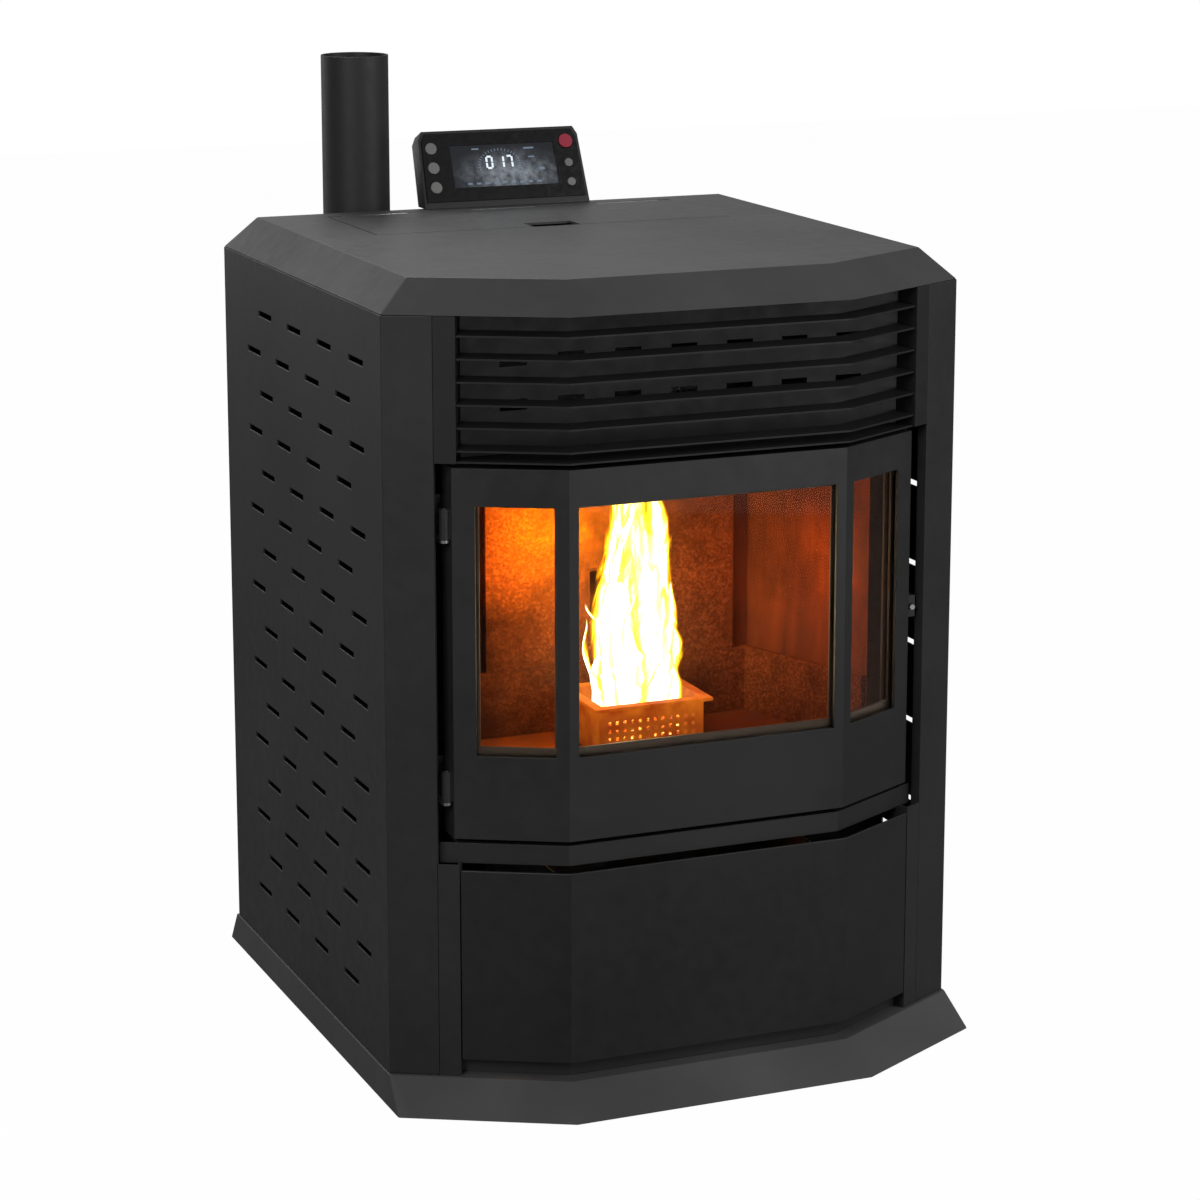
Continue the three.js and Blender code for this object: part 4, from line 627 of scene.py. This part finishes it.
def bars_on_display(name, bars, material, lift=0.00012):
    """Flat marks just proud of the display: each bar is (x, y, width, height, turn) in millimetres."""
    bm = bmesh.new()
    for x, y, width, height, turn in bars:
        c, s = math.cos(turn), math.sin(turn)
        corners = []
        for dx, dy in ((-1, -1), (1, -1), (1, 1), (-1, 1)):
            px, py = dx * width / 2, dy * height / 2
            u, v = x + px * c - py * s, y + px * s + py * c
            corners.append(DISPLAY_CENTRE + ALONG * u * 0.001 + UP * v * 0.001 + OUT * lift)
        top = [bm.verts.new(p) for p in corners]
        low = [bm.verts.new(p - OUT * lift * 0.6) for p in corners]
        bm.faces.new(top)
        bm.faces.new(low[::-1])
        for i in range(4):
            j = (i + 1) % 4
            bm.faces.new((top[i], low[i], low[j], top[j]))
    mesh = bpy.data.meshes.new(name)
    bm.to_mesh(mesh)
    bm.free()
    return piece(name, mesh, material, "casing")


SEGMENTS = {"0": "abcdef", "1": "bc", "7": "abc"}
PLACES = {
    "a": (0, 1, 1), "b": (1, 0.5, 0), "c": (1, -0.5, 0), "d": (0, -1, 1),
    "e": (-1, -0.5, 0), "f": (-1, 0.5, 0), "g": (0, 0, 1),
}


def digit(sign, x, y, width, height, stroke):
    bars = []
    for key in SEGMENTS[sign]:
        px, py, flat = PLACES[key]
        w, h = (width * 0.78, stroke) if flat else (stroke, height * 0.42)
        bars.append((x + px * width / 2, y + py * height / 2, w, h, 0.0))
    return bars


digits = []
for sign, x in zip("017", (-18.0, -3.5, 7.5)):
    digits += digit(sign, x, 4.0, 6.8, 14.0, 2.4)
bars_on_display("display_digits", digits, glowing("display_white", (0.82, 0.92, 1.0), 1.05))
ring = []
for k in range(25):
    a = math.radians(205 - k * 230 / 24)
    ring.append((-5 + 26 * math.cos(a), 0.5 + 19 * math.sin(a), 3.0, 0.9, a))
small = [(-46 + k * 11, -21.5, 5.5, 2.4, 0) for k in range(9)]
small += [(-34, 21, 9, 1.8, 0), (34, 20, 13, 2.0, 0), (36, 9, 8, 1.6, 0), (48, -6, 6, 3.4, 0)]
bars_on_display("display_marks", ring + small, glowing("display_blue", (0.42, 0.55, 0.78), 0.32))


# ---------------------------------------------------------------- stage, lights and camera

MIRRORED = 0.30    # how bright the pale surroundings are to a mirrored ray: the paint stays black


def white_where_seen(name, seen, lit):
    """A plain pale surface that the camera sees as seen, and that lights the object as lit."""
    n = Nodes(name)
    path = n.add("ShaderNodeLightPath")
    diffuse = n.add("ShaderNodeBsdfDiffuse")
    diffuse.inputs["Color"].default_value = (lit, lit, lit, 1)
    glow = n.add("ShaderNodeEmission")
    glow.inputs["Color"].default_value = (seen, seen, seen, 1)
    choose = n.add("ShaderNodeMixShader")
    glossy = n.math("MULTIPLY", path.outputs["Is Glossy Ray"], MIRRORED * 0.3)
    mirrored = n.math("MAXIMUM", glossy, path.outputs["Is Transmission Ray"])
    straight = n.math("LESS_THAN", path.outputs["Diffuse Depth"], 0.5)
    seen_by = n.math("MAXIMUM", path.outputs["Is Camera Ray"], n.math("MULTIPLY", mirrored, straight))
    part = n.math("MULTIPLY", seen_by, 0.95)
    n.link(part, choose.inputs["Fac"])
    n.link(diffuse.outputs[0], choose.inputs[1])
    n.link(glow.outputs[0], choose.inputs[2])
    n.link(choose.outputs[0], n.out.inputs["Surface"])
    return n.material


floor_mesh = bpy.data.meshes.new("floor")
floor_mesh.from_pydata([(-9, -9, 0), (9, -9, 0), (9, 9, 0), (-9, 9, 0)], [], [(0, 1, 2, 3)])
floor = bpy.data.objects.new("floor", floor_mesh)
floor.location.z = -0.0005
bpy.context.scene.collection.objects.link(floor)
floor_mesh.materials.append(white_where_seen("pale_floor", 1.04, 0.12))

world = bpy.data.worlds.new("studio")
bpy.context.scene.world = world
world.use_nodes = True
tree = world.node_tree
tree.nodes.clear()
world_out = tree.nodes.new("ShaderNodeOutputWorld")
sky = tree.nodes.new("ShaderNodeBackground")
sky.inputs["Color"].default_value = (1, 1, 1, 1)
ray = tree.nodes.new("ShaderNodeLightPath")
pale = tree.nodes.new("ShaderNodeMath")
pale.operation = "MULTIPLY"
pale.inputs[1].default_value = MIRRORED
tree.links.new(ray.outputs["Is Glossy Ray"], pale.inputs[0])
seen = tree.nodes.new("ShaderNodeMath")
seen.operation = "MAXIMUM"
tree.links.new(pale.outputs[0], seen.inputs[0])
tree.links.new(ray.outputs["Is Transmission Ray"], seen.inputs[1])
straight = tree.nodes.new("ShaderNodeMath")
straight.operation = "LESS_THAN"
straight.inputs[1].default_value = 0.5
tree.links.new(ray.outputs["Diffuse Depth"], straight.inputs[0])
mirrored = tree.nodes.new("ShaderNodeMath")
mirrored.operation = "MULTIPLY"
tree.links.new(seen.outputs[0], mirrored.inputs[0])
tree.links.new(straight.outputs[0], mirrored.inputs[1])
strength = tree.nodes.new("ShaderNodeMath")
strength.operation = "MAXIMUM"
tree.links.new(ray.outputs["Is Camera Ray"], strength.inputs[0])
tree.links.new(mirrored.outputs[0], strength.inputs[1])
tree.links.new(strength.outputs[0], sky.inputs["Strength"])
tree.links.new(sky.outputs[0], world_out.inputs["Surface"])


def softbox(name, place, target, width, height, watts, colour=(1, 1, 1)):
    data = bpy.data.lights.new(name, "AREA")
    data.shape = "RECTANGLE"
    data.size = width
    data.size_y = height
    data.energy = watts
    data.color = colour
    obj = bpy.data.objects.new(name, data)
    obj.location = place
    obj.rotation_euler = (Vector(target) - Vector(place)).to_track_quat("-Z", "Y").to_euler()
    bpy.context.scene.collection.objects.link(obj)
    return obj


def fire_light(name, place, watts, radius, colour):
    data = bpy.data.lights.new(name, "POINT")
    data.energy = watts
    data.shadow_soft_size = radius
    data.color = colour
    obj = bpy.data.objects.new(name, data)
    obj.location = place
    obj.visible_camera = False
    obj.visible_glossy = False
    obj.visible_transmission = False
    bpy.context.scene.collection.objects.link(obj)
    return obj


AIM = (0.0, 0.0, 0.6)
softbox("left_front_light", (-2.05, -2.05, 1.95), AIM, 1.4, 1.4, 28)
softbox("right_front_light", (2.05, -2.05, 1.95), AIM, 1.4, 1.4, 27)
softbox("low_front_light", (1.35, -2.90, 0.49), AIM, 1.4, 1.4, 9)
softbox("back_light", (0.0, 1.84, 3.22), AIM, 1.4, 1.4, 34)
softbox("left_back_light", (-1.55, 2.68, 1.43), AIM, 1.4, 1.4, 10)

fire_light("fire_glow_wall", (-0.060, -0.125, 0.560), 3.2, 0.020, (1.0, 0.55, 0.006))
fire_light("fire_glow_left", (-0.090, -0.150, 0.560), 1.8, 0.024, (1.0, 0.17, 0.001))
fire_light("fire_glow_right", (0.170, -0.215, 0.520), 0.45, 0.020, (1.0, 0.26, 0.002))
fire_light("fire_light", (0.02, pot_mid.y - 0.03, POT_RIM + 0.10), 1.1, 0.030, (1.0, 0.10, 0.002))

camera_data = bpy.data.cameras.new("camera")
camera_data.lens = 101.0
camera_data.sensor_width = 36.0
camera_data.shift_y = -0.1
camera_data.clip_end = 50.0
camera = bpy.data.objects.new("camera", camera_data)
camera.location = (-1.418, -3.191 - 0.2579, 1.372)
camera.rotation_euler = (math.radians(90 - 11.74), 0, math.radians(-22.61))
bpy.context.scene.collection.objects.link(camera)
bpy.context.scene.camera = camera
bpy.context.scene.view_settings.view_transform = "Standard"
